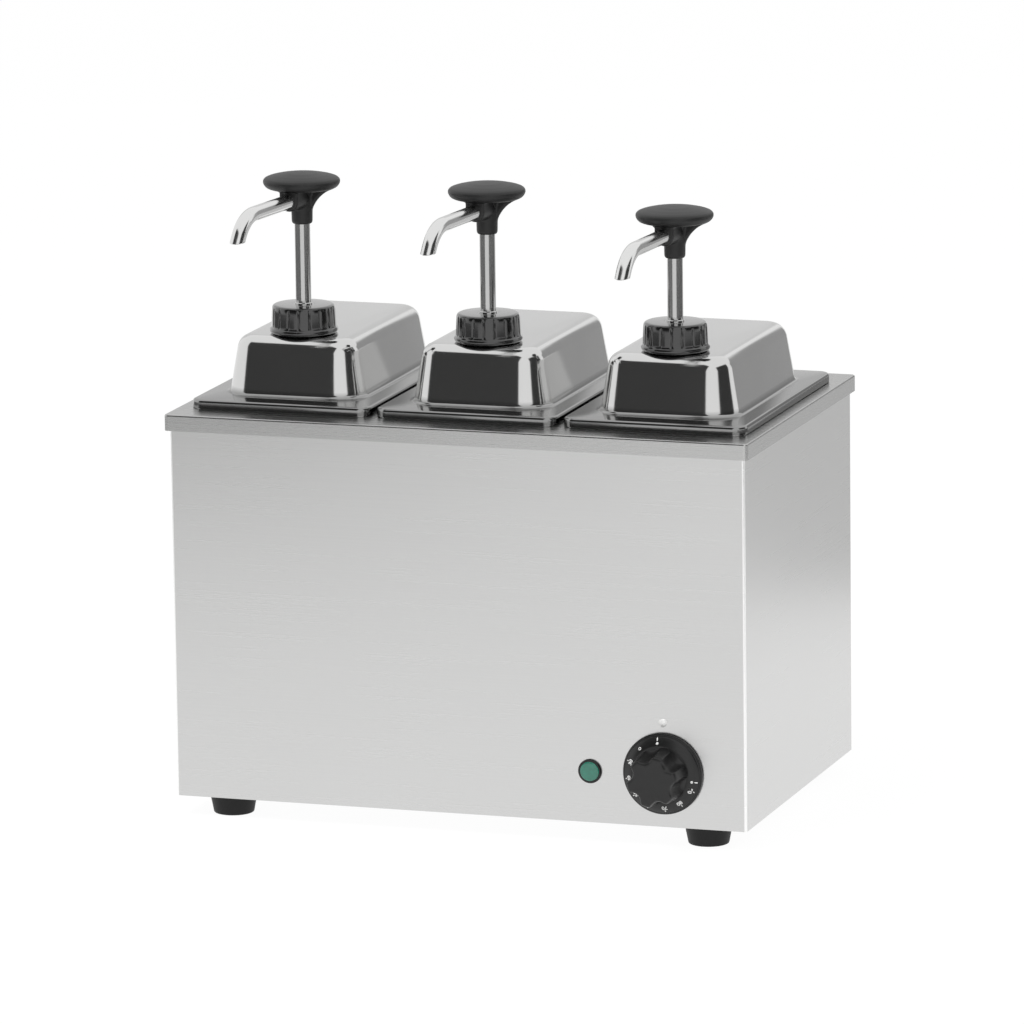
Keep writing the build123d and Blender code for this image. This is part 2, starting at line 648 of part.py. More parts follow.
def index_marker():
    """Small domed rivet that the dial's scale is read against."""
    dome_r = (MARKER_R**2 + MARKER_RISE**2) / (2 * MARKER_RISE)
    dome = Pos(0, 0, MARKER_RISE - dome_r) * Sphere(dome_r)
    head = dome & cylinder(MARKER_R, MARKER_RISE)
    shank = cylinder(MARKER_R / 2, WRAP_SHEET + 1.5, z=-WRAP_SHEET - 1.5)
    marker_z = CONTROL_Z + MARKER_ABOVE_DIAL
    return along_y(head + shank, DIAL_X, BODY_FRONT, marker_z)


def cable_gland():
    """Strain relief body outside the back panel and its nut inside; no cord."""
    hexagon = extrude(RegularPolygon(GLAND_HEX / 2, 6, major_radius=False), GLAND_BODY)
    dome = cone(GLAND_HEX / 2 - 0.5, GLAND_BORE_R + 2.5, GLAND_DOME, z=GLAND_BODY)
    thread = cylinder(GLAND_THREAD_R, GLAND_THREAD, z=-GLAND_THREAD)
    through = GLAND_THREAD + GLAND_BODY + GLAND_DOME + 2.0
    body = hexagon + dome + thread - cylinder(GLAND_BORE_R, through, z=-GLAND_THREAD - 1.0)
    nut = extrude(Pos(0, 0, -WRAP_SHEET - 5) * RegularPolygon(GLAND_HEX / 2, 6, major_radius=False), 5.0)
    nut -= cylinder(GLAND_THREAD_R + 0.1, GLAND_THREAD, z=-GLAND_THREAD)
    place = Pos(GLAND_X, BODY_BACK, GLAND_Z) * Rot(-90, 0, 0)
    return Compound([place * body, place * nut])


def terminal_block():
    length, width, height = TERMINAL_SIZE
    x0 = GLAND_X - length / 2
    y1 = BODY_BACK - TERMINAL_FROM_BACK
    block_body = block(x0, x0 + length, y1 - width, y1, BASE_TOP, BASE_TOP + height)
    way = length / TERMINAL_WAYS
    for index in range(TERMINAL_WAYS):
        x = x0 + way * (index + 0.5)
        port = Pos(x, y1 - width / 2, BASE_TOP + height / 2) * Rot(90, 0, 0) * Cylinder(2.5, 2 * width)
        screw_well = Pos(x, y1 - width / 2, BASE_TOP + height) * Cylinder(3.0, 6.0)
        block_body = block_body - port - screw_well
    return block_body


# ------------------------------------------------------------------ pans and lids
def pan():
    """Gastronorm pan: drawn tub, flat rim and a turned-down edge to stand on."""
    outer = tub(
        PAN_BODY_WIDTH,
        PAN_BODY_LENGTH,
        PAN_CORNER_R,
        PAN_FLOOR - PAN_SHEET,
        RIM_TOP,
        PAN_TAPER,
        PAN_FLOOR_R + PAN_SHEET,
    )
    inner = tub(
        PAN_BODY_WIDTH - 2 * PAN_SHEET,
        PAN_BODY_LENGTH - 2 * PAN_SHEET,
        PAN_CORNER_R - PAN_SHEET,
        PAN_FLOOR,
        RIM_TOP,
        PAN_TAPER,
        PAN_FLOOR_R,
    )
    width = LID_WIDTH - 2 * LID_SHEET - 2 * LID_RIM_FIT
    length = LID_LENGTH - 2 * LID_SHEET - 2 * LID_RIM_FIT
    rim = rounded_slab(width, length, PAN_RIM_CORNER_R, PLATE_TOP, RIM_TOP)
    rim = fillet(rim.faces().sort_by(Axis.Z)[-1].edges(), 1.0)
    rim -= rounded_slab(
        width - 2 * PAN_SHEET,
        length - 2 * PAN_SHEET,
        PAN_RIM_CORNER_R - PAN_SHEET,
        PLATE_TOP,
        RIM_TOP - PAN_SHEET,
    )
    return rim + outer - inner


def dome_solid(width, length, corner_r, foot_z, top_z, top_r):
    outline = Pos(0, DOME_Y, foot_z) * RectangleRounded(width, length, corner_r)
    body = extrude(outline, top_z - foot_z, taper=DOME_DRAFT)
    crown = body.faces().sort_by(Axis.Z)[-1]
    return fillet(crown.edges(), top_r)


def lid():
    """Pressed lid: rim with a turned-down skirt, drafted dome, hole for the pump."""
    skirt_z = PLATE_TOP + LID_SKIRT_GAP
    rim = rounded_slab(LID_WIDTH, LID_LENGTH, LID_CORNER_R, skirt_z, LID_TOP)
    rim = fillet(rim.faces().sort_by(Axis.Z)[-1].edges(), LID_EDGE_R)
    dome = dome_solid(DOME_WIDTH, DOME_LENGTH, DOME_CORNER_R, LID_TOP, DOME_TOP, DOME_TOP_R)
    outer = rim + dome
    foot_edges = [
        edge
        for edge in outer.edges()
        if abs(edge.bounding_box().min.Z - LID_TOP) < 0.01
        and abs(edge.bounding_box().max.Z - LID_TOP) < 0.01
        and abs(edge.center().X) < DOME_WIDTH / 2 + 1
        and abs(edge.center().Y - DOME_Y) < DOME_LENGTH / 2 + 1
    ]
    outer = fillet(foot_edges, DOME_FOOT_R)
    under_rim = rounded_slab(
        LID_WIDTH - 2 * LID_SHEET,
        LID_LENGTH - 2 * LID_SHEET,
        LID_CORNER_R - LID_SHEET,
        skirt_z,
        RIM_TOP,
    )
    wall = LID_SHEET / cos(radians(DOME_DRAFT))
    inner_lift = LID_SHEET * tan(radians(DOME_DRAFT))
    shrink = 2 * (wall - inner_lift)
    under_dome = dome_solid(
        DOME_WIDTH - shrink,
        DOME_LENGTH - shrink,
        DOME_CORNER_R - LID_SHEET,
        RIM_TOP,
        DOME_UNDER,
        DOME_TOP_R - LID_SHEET,
    )
    shell = outer - under_rim - under_dome
    return shell - cylinder(NECK_R + NECK_FIT, 4 * LID_SHEET, y=PUMP_Y, z=DOME_UNDER - LID_SHEET)


# -------------------------------------------------------------------- push pumps
def pump_cap():
    """Ribbed ring nut that clamps the pump to the lid."""
    body = cylinder(CAP_R, CAP_HEIGHT)
    body = fillet(body.edges().sort_by(Axis.Z)[-1], 2.0)
    groove_x = CAP_R + CAP_GROOVE_R - CAP_GROOVE_DEPTH
    groove_height = CAP_HEIGHT - CAP_RING_HEIGHT - 3.0
    groove = cylinder(CAP_GROOVE_R, groove_height, x=groove_x, z=CAP_RING_HEIGHT)
    for index in range(CAP_RIBS):
        body -= Rot(0, 0, 360 / CAP_RIBS * index) * groove
    ring = cylinder(CAP_RING_R, CAP_RING_HEIGHT)
    ring = fillet(ring.edges().filter_by(GeomType.CIRCLE), 1.2)
    cap = body + ring
    cap -= cylinder(NECK_R + NECK_FIT, CAP_HEIGHT - CAP_TOP_SHEET)
    cap -= cylinder(BUSH_R + 0.1, CAP_HEIGHT)
    return Pos(0, PUMP_Y, DOME_TOP) * cap


def guide_bush():
    """Flanged bush that the rod slides in; its ring shows on top of the cap."""
    bush = cylinder(BUSH_FLANGE_R, BUSH_FLANGE, z=BUSH_SEAT)
    bush += cylinder(BUSH_R, CAP_TOP_SHEET, z=BUSH_SEAT + BUSH_FLANGE)
    ring = cylinder(BUSH_RING_R, BUSH_RING, z=CAP_TOP)
    bush += chamfer(ring.edges().sort_by(Axis.Z)[-1], 0.6)
    bush += cylinder(BARREL_BORE_R - BUSH_SPIGOT_FIT, BUSH_SPIGOT, z=BUSH_SEAT - BUSH_SPIGOT)
    bore_z = BUSH_SEAT - BUSH_SPIGOT
    bush -= cylinder(ROD_R + ROD_FIT, CAP_TOP + BUSH_RING - bore_z, z=bore_z)
    return Pos(0, PUMP_Y, 0) * bush


def pump_barrel():
    """Cylinder of the pump, hung through the lid and clamped under its dome."""
    barrel = cylinder(BARREL_R, DOME_UNDER - BARREL_BOTTOM, z=BARREL_BOTTOM)
    barrel += cylinder(BARREL_FLANGE_R, BARREL_FLANGE, z=DOME_UNDER - BARREL_FLANGE)
    neck = cylinder(NECK_R, BUSH_SEAT - DOME_UNDER, z=DOME_UNDER)
    barrel += neck
    barrel -= cylinder(BARREL_BORE_R, BUSH_SEAT - BARREL_BOTTOM, z=BARREL_BOTTOM)
    return Pos(0, PUMP_Y, 0) * barrel


def foot_valve():
    """Cup on the barrel's foot with the suction seat, inlet notches and a ball stop."""
    cup = cylinder(VALVE_R, VALVE_TOP - VALVE_BOTTOM, z=VALVE_BOTTOM)
    cup = chamfer(cup.edges().sort_by(Axis.Z)[0], VALVE_FLOOR / 2)
    cup -= cylinder(BARREL_R + 0.1, VALVE_SOCKET, z=BARREL_BOTTOM)
    cage_z = VALVE_BOTTOM + VALVE_FLOOR
    cage_r = SUCTION_BALL_R + CAGE_FIT
    cup -= cylinder(cage_r, BARREL_BOTTOM - cage_z, z=cage_z)
    cup -= cylinder(VALVE_INLET_R, 2 * VALVE_FLOOR, z=VALVE_BOTTOM - VALVE_FLOOR)
    cup -= Pos(0, 0, VALVE_BOTTOM) * Box(3 * VALVE_R, VALVE_NOTCH, VALVE_FLOOR)
    pin = Pos(0, 0, VALVE_PIN_Z) * Rot(0, 90, 0) * Cylinder(VALVE_PIN_R, cage_r + VALVE_R)
    return Pos(0, PUMP_Y, 0) * (cup + pin)


def suction_ball():
    return Pos(0, PUMP_Y, SUCTION_BALL_Z) * Sphere(SUCTION_BALL_R)


def piston_bottom(index):
    solid_spring = 2 * SPRING_WIRE_R * SPRING_TURNS
    return BARREL_BOTTOM + solid_spring + SPRING_CLEARANCE + STROKE[index]


def piston(index):
    """Piston with a sealing lip at each end, a ball seat and a socket for the rod."""
    z = piston_bottom(index)
    waist = PISTON_HEIGHT - 2 * PISTON_LIP
    body = cylinder(PISTON_R, PISTON_LIP, z=z)
    body += cylinder(PISTON_WAIST_R, waist, z=z + PISTON_LIP)
    body += cylinder(PISTON_R, PISTON_LIP, z=z + PISTON_LIP + waist)
    body -= cylinder(PISTON_INLET_R, PISTON_HEIGHT, z=z)
    body -= cylinder(DISCHARGE_BALL_R + CAGE_FIT / 2, PISTON_HEIGHT, z=z + PISTON_FLOOR)
    body -= cylinder(ROD_R, PISTON_SOCKET, z=z + PISTON_HEIGHT - PISTON_SOCKET)
    return Pos(0, PUMP_Y, 0) * body


def discharge_ball(index):
    seat = (DISCHARGE_BALL_R**2 - PISTON_INLET_R**2) ** 0.5 + BALL_GAP
    ball_z = piston_bottom(index) + PISTON_FLOOR + seat
    return Pos(0, PUMP_Y, ball_z) * Sphere(DISCHARGE_BALL_R)


def neck_bottom(index):
    return CAP_TOP + ROD_EXPOSED[index]


def plunger_tube(index):
    """Hollow rod, notched at its foot; its collar meets the bush at the top of the stroke."""
    low = piston_bottom(index) + PISTON_HEIGHT - PISTON_SOCKET
    high = neck_bottom(index) + HEAD_SOCKET
    rod = cylinder(ROD_R, high - low, z=low)
    collar_z = BUSH_SEAT - BUSH_SPIGOT - SEAT_GAP - STOP_COLLAR
    rod += cylinder(STOP_COLLAR_R, STOP_COLLAR, z=collar_z)
    rod -= cylinder(ROD_BORE_R, high - low, z=low)
    rod -= Pos(0, 0, low) * Box(3 * ROD_R, ROD_NOTCH, 2 * ROD_NOTCH)
    return Pos(0, PUMP_Y, 0) * rod


def return_spring(index):
    low = SPRING_BOTTOM + SEAT_GAP
    height = piston_bottom(index) - SPRING_WIRE_R - SEAT_GAP - low
    pitch = height / SPRING_TURNS
    path = Helix(pitch=pitch, height=height, radius=SPRING_R)
    profile = Plane(origin=path @ 0, z_dir=path % 0) * Circle(SPRING_WIRE_R)
    return Pos(0, PUMP_Y, low) * sweep(profile, path, is_frenet=True)


def knob_fin(angle):
    """Gusset between neck and disc with a hollow curved edge."""
    under = KNOB_HEIGHT - KNOB_CROWN - KNOB_RIM
    top = under + KNOB_EDGE_R
    reach = KNOB_BASE_R - KNOB_EDGE_R
    outline = Polyline((0, FIN_FOOT), (NECK_OUTER_R, FIN_FOOT))
    hollow = RadiusArc((NECK_OUTER_R, FIN_FOOT), (reach, under), FIN_HOLLOW_R)
    close = Polyline((reach, under), (reach, top), (0, top), (0, FIN_FOOT))
    face = make_face(outline.edges() + hollow.edges() + close.edges())
    fin = extrude(Plane.XZ * face, FIN_THICKNESS / 2, both=True)
    return Rot(0, 0, angle) * fin


def pump_knob(index):
    """Moulded head: drafted disc with a crowned top, neck, gussets, spout boss."""
    under = KNOB_HEIGHT - KNOB_CROWN - KNOB_RIM
    disc = cone(KNOB_BASE_R, KNOB_R, KNOB_RIM, z=under)
    crown_r = (KNOB_R**2 + KNOB_CROWN**2) / (2 * KNOB_CROWN)
    crown = Pos(0, 0, KNOB_HEIGHT - crown_r) * Sphere(crown_r)
    disc += crown & cylinder(KNOB_R, KNOB_CROWN, z=under + KNOB_RIM)
    rims = disc.edges().filter_by(GeomType.CIRCLE).sort_by(Axis.Z)
    disc = fillet([rims[0], rims[-1]], KNOB_EDGE_R)
    neck = cone(NECK_OUTER_R, NECK_TOP_R, under + 1.0)
    neck = chamfer(neck.edges().filter_by(GeomType.CIRCLE).sort_by(Axis.Z)[0], 1.4)
    boss_round = Pos(0, 0, ARM_ABOVE_NECK) * Rot(90, 0, 0) * cylinder(BOSS_R, BOSS_LENGTH)
    boss_block = block(-BOSS_R, BOSS_R, -BOSS_LENGTH, 0, ARM_ABOVE_NECK, under + 1.0)
    head = disc + neck + boss_round + boss_block
    for angle in (0, 90, 180):
        head += knob_fin(angle)
    head -= cylinder(ROD_R + ROD_FIT, HEAD_SOCKET)
    head -= cylinder(CHAMBER_R, ARM_ABOVE_NECK + CHAMBER_R - HEAD_SOCKET, z=HEAD_SOCKET - 0.01)
    bore = cylinder(SPOUT_R + 0.05, BOSS_LENGTH)
    head -= Pos(0, -SPOUT_ROOT, ARM_ABOVE_NECK) * Rot(90, 0, 0) * bore
    passage = cylinder(SPOUT_BORE_R, SPOUT_ROOT + 1)
    head -= Pos(0, 0, ARM_ABOVE_NECK) * Rot(90, 0, 0) * passage
    return Pos(0, PUMP_Y, neck_bottom(index)) * Rot(0, 0, -HEAD_TURN[index]) * head


def spout_path():
    """Straight arm to the front, then an arc down to the tip, seen from the axis."""
    bend_y = -SPOUT_STRAIGHT
    end_y = bend_y - SPOUT_BEND_R * sin(SPOUT_TURN)
    end_z = -SPOUT_BEND_R * (1 - cos(SPOUT_TURN))
    arm = Line((0, -SPOUT_ROOT, 0), (0, bend_y, 0))
    bend = TangentArc((0, bend_y, 0), (0, end_y, end_z), tangent=(0, -1, 0))
    uncut = SPOUT_TIP + SPOUT_TRIM
    tip_end = (0, end_y - uncut * cos(SPOUT_TURN), end_z - uncut * sin(SPOUT_TURN))
    tip = Line((0, end_y, end_z), tip_end)
    return Wire(arm.edges() + bend.edges() + tip.edges())


def spout(index):
    """Bent steel spout, its mouth cut level."""
    path = spout_path()
    start = Plane(origin=path @ 0, z_dir=path % 0)
    tube = sweep(start * Circle(SPOUT_R), path) - sweep(start * Circle(SPOUT_BORE_R), path)
    uncut = path @ 1
    level = uncut.Z + SPOUT_TRIM * sin(SPOUT_TURN) + SPOUT_R * cos(SPOUT_TURN)
    room = 4 * SPOUT_R
    tube -= block(-room, room, uncut.Y - room, uncut.Y + room, level - room, level)
    return Pos(0, PUMP_Y, neck_bottom(index) + ARM_ABOVE_NECK) * Rot(0, 0, -HEAD_TURN[index]) * tube


# ------------------------------------------------------------------------- output
write(cabinet_wrap(), "cabinet_wrap")
write(back_panel(), "back_panel")
write(base_plate(), "base_plate")
write(feet(), "feet")
write(foot_screws(), "foot_screws")
write(back_screws(), "back_screws")
write(top_plate(), "top_plate")
write(well_tank(), "well_tank")
write(well_insulation(), "well_insulation")
write(heating_element(), "heating_element")
write(element_straps(), "element_straps")
write(thermostat_body(), "thermostat_body")
write(thermostat_shaft(), "thermostat_shaft")
write(thermostat_bulb(), "thermostat_bulb")
write(control_dial(), "control_dial")
write(pilot_lamp_body(), "pilot_lamp_body")
write(pilot_lamp_lens(), "pilot_lamp_lens")
write(index_marker(), "index_marker")
write(cable_gland(), "cable_gland")
write(terminal_block(), "terminal_block")

shared = {
    "pan": pan(),
    "lid": lid(),
    "pump_cap": pump_cap(),
    "guide_bush": guide_bush(),
    "pump_barrel": pump_barrel(),
    "foot_valve": foot_valve(),
    "suction_ball": suction_ball(),
}
for index in range(PAN_COUNT):
    pieces = dict(shared)
    pieces["piston"] = piston(index)
    pieces["discharge_ball"] = discharge_ball(index)
    pieces["plunger_tube"] = plunger_tube(index)
    pieces["return_spring"] = return_spring(index)
    pieces["pump_knob"] = pump_knob(index)
    pieces["spout"] = spout(index)
    for name, piece in pieces.items():
        write(Pos(lid_x(index), 0, 0) * piece, f"{name}_{index + 1}")
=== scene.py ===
# %% [markdown]
# # A countertop topping warmer
#
# The real object is a folded stainless cabinet with a water bath inside. Three drawn pans
# hang in it, each under a domed lid with a push pump. The engineering model gives every
# piece its place and size. This notebook gives each surface its shape and finish: it keeps
# the pieces whose plain shape is already right, and rebuilds the ones whose curves catch
# the light, such as the domes, the caps, the pump heads and the bent spouts.

# %% Load the frame
import math

import bmesh
import bpy
from mathutils import Matrix, Vector


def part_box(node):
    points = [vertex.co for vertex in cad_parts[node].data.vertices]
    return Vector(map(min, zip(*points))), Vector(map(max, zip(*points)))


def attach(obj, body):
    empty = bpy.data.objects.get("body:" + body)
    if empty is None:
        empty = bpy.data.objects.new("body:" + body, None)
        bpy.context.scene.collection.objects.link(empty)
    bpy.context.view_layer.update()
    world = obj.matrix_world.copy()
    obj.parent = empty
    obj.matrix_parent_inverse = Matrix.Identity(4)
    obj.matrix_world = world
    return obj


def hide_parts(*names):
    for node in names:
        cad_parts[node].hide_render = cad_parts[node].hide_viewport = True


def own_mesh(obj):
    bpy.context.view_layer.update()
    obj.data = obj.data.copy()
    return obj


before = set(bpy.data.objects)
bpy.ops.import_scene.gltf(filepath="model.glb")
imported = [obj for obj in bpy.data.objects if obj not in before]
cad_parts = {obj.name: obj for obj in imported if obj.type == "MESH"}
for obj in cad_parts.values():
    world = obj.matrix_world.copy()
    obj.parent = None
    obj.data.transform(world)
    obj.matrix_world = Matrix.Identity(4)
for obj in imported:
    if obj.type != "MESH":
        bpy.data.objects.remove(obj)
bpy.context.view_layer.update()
MM = 0.001
PLACES = (1, 2, 3)


# %% [markdown]
# ## Places read from the frame
#
# The centres and heights that the dressed pieces stand on come from the boxes of the
# engineering pieces, so each stays on what carries it. Only sizes inside a piece are
# numbers, in millimetres.

# %% Places
def low(node):
    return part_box(node)[0]


def high(node):
    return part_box(node)[1]


def middle(node):
    return (low(node) + high(node)) / 2


def upright_through(node):
    """The point on the ground below a node's middle."""
    return Vector((middle(node).x, middle(node).y, 0))


pump_axis = {n: upright_through(f"pump_cap_{n}") for n in PLACES}
print("pump axes:", {n: tuple(round(v, 4) for v in pump_axis[n]) for n in PLACES})

# %% [markdown]
# ## Finishes as expressions
#
# Shader maths reads best as ordinary arithmetic. `Value` wraps one output socket, and the
# operators on it add the Math nodes. `Shader.node` makes every other node: its settings
# first, then the values or links of its inputs.


# %% Shader helpers
def grey(tone):
    return (tone, tone, tone)


class Value:
    """One float socket of a node tree, to be used in Python expressions."""

    def __init__(self, shader, socket):
        self.shader = shader
        self.socket = socket

    def _math(self, operation, *values, clamp=False):
        settings = {"operation": operation, "use_clamp": clamp}
        return self.shader.node("ShaderNodeMath", settings, dict(enumerate(values)))

    def __add__(self, other):
        return self._math("ADD", self, other)

    __radd__ = __add__

    def __mul__(self, other):
        return self._math("MULTIPLY", self, other)

    def __sub__(self, other):
        return self._math("SUBTRACT", self, other)

    def __rsub__(self, other):
        return self._math("SUBTRACT", other, self)

    def __truediv__(self, other):
        return self._math("DIVIDE", self, other)

    def clamped(self):
        return self._math("ADD", self, 0.0, clamp=True)

    def size(self):
        return self._math("ABSOLUTE", self)


class Shader:
    """A material whose Principled shader is filled in by expressions."""

    def __init__(self, name):
        self.material = bpy.data.materials.new(name)
        self.material.use_nodes = True
        self.nodes = self.material.node_tree.nodes
        self.links = self.material.node_tree.links
        self.principled = self.nodes["Principled BSDF"]

    def put(self, socket, value):
        if isinstance(value, Value):
            self.links.new(value.socket, socket)
        elif value is not None:
            socket.default_value = value

    def node(self, kind, settings=None, inputs=None, output=0):
        made = self.nodes.new(kind)
        for key, value in (settings or {}).items():
            setattr(made, key, value)
        for key, value in (inputs or {}).items():
            self.put(made.inputs[key], value)
        return Value(self, made.outputs[output])

    def set(self, **values):
        for key, value in values.items():
            self.put(self.principled.inputs[key.replace("_", " ")], value)
        return self.material

    def place(self, scale=(1, 1, 1)):
        """Object coordinates, stretched by a scale per axis."""
        coordinate = self.node("ShaderNodeTexCoord", output="Object")
        return self.node("ShaderNodeMapping", None, {"Vector": coordinate, "Scale": scale})

    def along(self, axis):
        """The object coordinate on one axis, in metres."""
        return self.node("ShaderNodeSeparateXYZ", None, {0: self.place()}, output=axis)

    def past(self, axis, start, width):
        """0 before a place on an axis, 1 after it, with a soft step of some width."""
        return ((self.along(axis) - start) / width).clamped()

    def noise(self, scale, stretch=(1, 1, 1), detail=2.0, roughness=0.5):
        inputs = {"Vector": self.place(stretch), "Scale": scale}
        inputs |= {"Detail": detail, "Roughness": roughness}
        return self.node("ShaderNodeTexNoise", None, inputs)

    def blend(self, factor, first, second):
        """Mixes two colours; 6 and 7 are the colour inputs of the Mix node, 2 its output."""
        first, second = [c if isinstance(c, Value) else (*c, 1) for c in (first, second)]
        inputs = {"Factor": factor, 6: first, 7: second}
        return self.node("ShaderNodeMix", {"data_type": "RGBA"}, inputs, output=2)

    def bump(self, height, strength, distance):
        inputs = {"Height": height, "Strength": strength, "Distance": distance}
        return self.node("ShaderNodeBump", None, inputs)


# %% [markdown]
# ## Stainless steel, in three finishes
#
# Brushed sheet has thousands of parallel scratches. They are a noise squeezed across the
# grain and stretched along it, and they change the gloss more than the colour. Drawn lids
# are polished after pressing, so theirs are faint and short. Tube is polished bright. Light
# and shade are also painted into the colour by where they lie: a painted highlight on the
# cabinet's folded front corners, painted shade on the lid's rim and the foot of its dome,
# and painted shade that makes the plate's top a little darker than its lip.


# %% Steel
def brushed_steel(name, grain, tone, gloss, depth=0.00002, place=None, other=None):
    """Rolled sheet; grain is the stretch of the scratches on X, Y and Z.

    Where place gives 1, the sheet has the other tone."""
    steel = Shader(name)
    scratches = steel.noise(1.0, grain, detail=3.0, roughness=0.6)
    clouds = steel.noise(7.0, detail=2.0)
    shade = (scratches * 0.7 + clouds * 0.3).clamped()
    dark = tuple(c * 0.93 for c in tone)
    light = tuple(min(1.0, c * 1.05) for c in tone)
    colour = steel.blend(shade, dark, light)
    if place:
        colour = steel.blend(place(steel), colour, other)
    return steel.set(
        Base_Color=colour,
        Metallic=1.0,
        Roughness=gloss + (scratches - 0.5) * 0.16 + (clouds - 0.5) * 0.05,
        Normal=steel.bump(scratches, 0.25, depth),
    )


def polished_steel(name, tone, gloss, haze=0.05, ripple=0.0, place=None, other=None):
    """Pressed or drawn steel, buffed; ripple is the depth of the press's slight waves.

    Where place gives 1, the steel has the other tone."""
    steel = Shader(name)
    buff = steel.noise(420.0, (1, 1, 0.35), detail=4.0, roughness=0.65)
    clouds = steel.noise(16.0, detail=3.0)
    dark = tuple(c * 0.95 for c in tone)
    light = tuple(min(1.0, c * 1.03) for c in tone)
    colour = steel.blend(clouds.clamped(), dark, light)
    if place:
        colour = steel.blend(place(steel), colour, other)
    steel.set(
        Base_Color=colour,
        Metallic=1.0,
        Roughness=gloss + (buff - 0.5) * haze + (clouds - 0.5) * haze,
    )
    if ripple:
        steel.set(Normal=steel.bump(clouds, 0.3, ripple))
    return steel.material


X, Y, Z = range(3)
FADE = 0.8 * MM
FOLD_WIDTH = 2.4 * MM
FOLD_DEPTH = 1.6 * MM
LIP_BEND = 1.4 * MM
RIM_BELOW_TOP = 49.0 * MM
RIM_FADE = 5.0 * MM


def fold_highlight_mask(steel):
    """Painted highlight: a bright reflection painted into the colour of the two upright folds
    at the cabinet's front.
    """
    side = steel.along(X).size()
    fold = ((side - (high("cabinet_wrap").x - FOLD_WIDTH)) / FADE).clamped()
    return fold * (1.0 - steel.past(Y, low("cabinet_wrap").y + FOLD_DEPTH, FADE))


# Painted shade: the plate's top face gets a darker tone than its lip.
def top_shade_mask(steel):
    return steel.past(Z, high("top_plate").z - LIP_BEND, FADE)


def rim_shade_mask(steel):
    """Painted shade: the flat rim and the foot of the dome get a darker colour, standing in for
    the dark dome front mirrored in them.
    """
    return 1.0 - steel.past(Z, high("lid_2").z - RIM_BELOW_TOP, RIM_FADE)


# The fold tone is a painted highlight; the plate's top tone and the lid's rim tone are painted
# shade.
PANEL_TONE = (0.69, 0.69, 0.685)
FOLD_HIGHLIGHT_TONE = (1.0, 1.0, 0.995)
LIP_TONE = (0.54, 0.54, 0.535)
TOP_SHADE_TONE = (0.50, 0.50, 0.496)
DOME_TONE = (0.66, 0.66, 0.655)
RIM_SHADE_TONE = (0.30, 0.30, 0.298)
panel_steel = brushed_steel(
    "panel_steel", (4, 4, 1400), PANEL_TONE, 0.30, place=fold_highlight_mask, other=FOLD_HIGHLIGHT_TONE
)
plate_steel = brushed_steel(
    "plate_steel", (4, 1100, 1100), LIP_TONE, 0.27, place=top_shade_mask, other=TOP_SHADE_TONE
)
inner_steel = brushed_steel("inner_steel", (5, 700, 700), grey(0.48), 0.40)
lid_steel = polished_steel(
    "lid_steel", DOME_TONE, 0.12, 0.05, 0.0002, place=rim_shade_mask, other=RIM_SHADE_TONE
)
pan_steel = polished_steel("pan_steel", (0.60, 0.60, 0.595), 0.24, 0.06)
tube_steel = polished_steel("tube_steel", (0.54, 0.54, 0.536), 0.14, 0.05)
screw_steel = polished_steel("screw_steel", (0.55, 0.55, 0.53), 0.30, 0.08)
ball_steel = polished_steel("ball_steel", (0.70, 0.70, 0.695), 0.08, 0.02)
spout_steel = polished_steel("spout_steel", (0.74, 0.74, 0.735), 0.13, 0.08, 0.00015)


# %% [markdown]
# ## Plastics, rubber and the rest
#
# The pump heads are moulded with a fine spark-eroded texture, so they are matt and a
# little uneven. The caps come from a polished mould and shine. Each of the hidden pieces
# gets the finish its real material has: mineral wool, heat-dulled sheath, white ceramic.


# %% Other finishes
def moulded(name, tone, gloss, grain, size, wear, coat=0.0, shine=0.5):
    """Moulded plastic or rubber with a fine texture and slight unevenness.

    Grain is the depth of the texture in metres, size its fineness."""
    plastic = Shader(name)
    texture = plastic.noise(size, detail=2.0)
    clouds = plastic.noise(22.0, detail=3.0)
    light = tuple(c * (1 + 6 * wear) for c in tone)
    return plastic.set(
        Base_Color=plastic.blend((clouds * wear + texture * wear).clamped(), tone, light),
        Roughness=gloss + (clouds - 0.5) * wear + (texture - 0.5) * 0.08,
        Coat_Weight=coat,
        Coat_Roughness=0.08,
        Specular_IOR_Level=shine,
        Normal=plastic.bump(texture, 0.35, grain),
    )


head_black = moulded("head_black", grey(0.013), 0.46, 0.00004, 1500.0, 0.12, shine=0.42)
cap_black = moulded("cap_black", grey(0.004), 0.16, 0.000004, 900.0, 0.05, coat=1.0, shine=0.6)
dial_black = moulded("dial_black", grey(0.011), 0.30, 0.00001, 1600.0, 0.08, shine=0.45)
lamp_black = moulded("lamp_black", grey(0.005), 0.24, 0.00001, 1600.0, 0.08, shine=0.4)
foot_rubber = moulded("foot_rubber", grey(0.006), 0.55, 0.00003, 1100.0, 0.10, shine=0.35)
gland_nylon = moulded("gland_nylon", (0.020, 0.020, 0.021), 0.42, 0.00002, 1400.0, 0.10)
barrel_plastic = moulded("barrel_plastic", (0.72, 0.72, 0.69), 0.38, 0.00001, 900.0, 0.03)
ceramic_white = moulded("ceramic_white", (0.70, 0.69, 0.64), 0.30, 0.00002, 700.0, 0.03)
case_cream = moulded("case_cream", (0.55, 0.52, 0.43), 0.45, 0.00002, 900.0, 0.05)
mark_white = moulded("mark_white", (0.82, 0.82, 0.81), 0.35, 0.00001, 1500.0, 0.02)
enamel_white = moulded("enamel_white", (0.80, 0.80, 0.79), 0.16, 0.00001, 900.0, 0.02, 0.5)
copper = polished_steel("copper", (0.64, 0.34, 0.22), 0.32, 0.10)
sheath = moulded("sheath", (0.17, 0.165, 0.155), 0.55, 0.00004, 900.0, 0.15)
wool = moulded("wool", (0.42, 0.38, 0.27), 0.95, 0.0012, 260.0, 0.25)


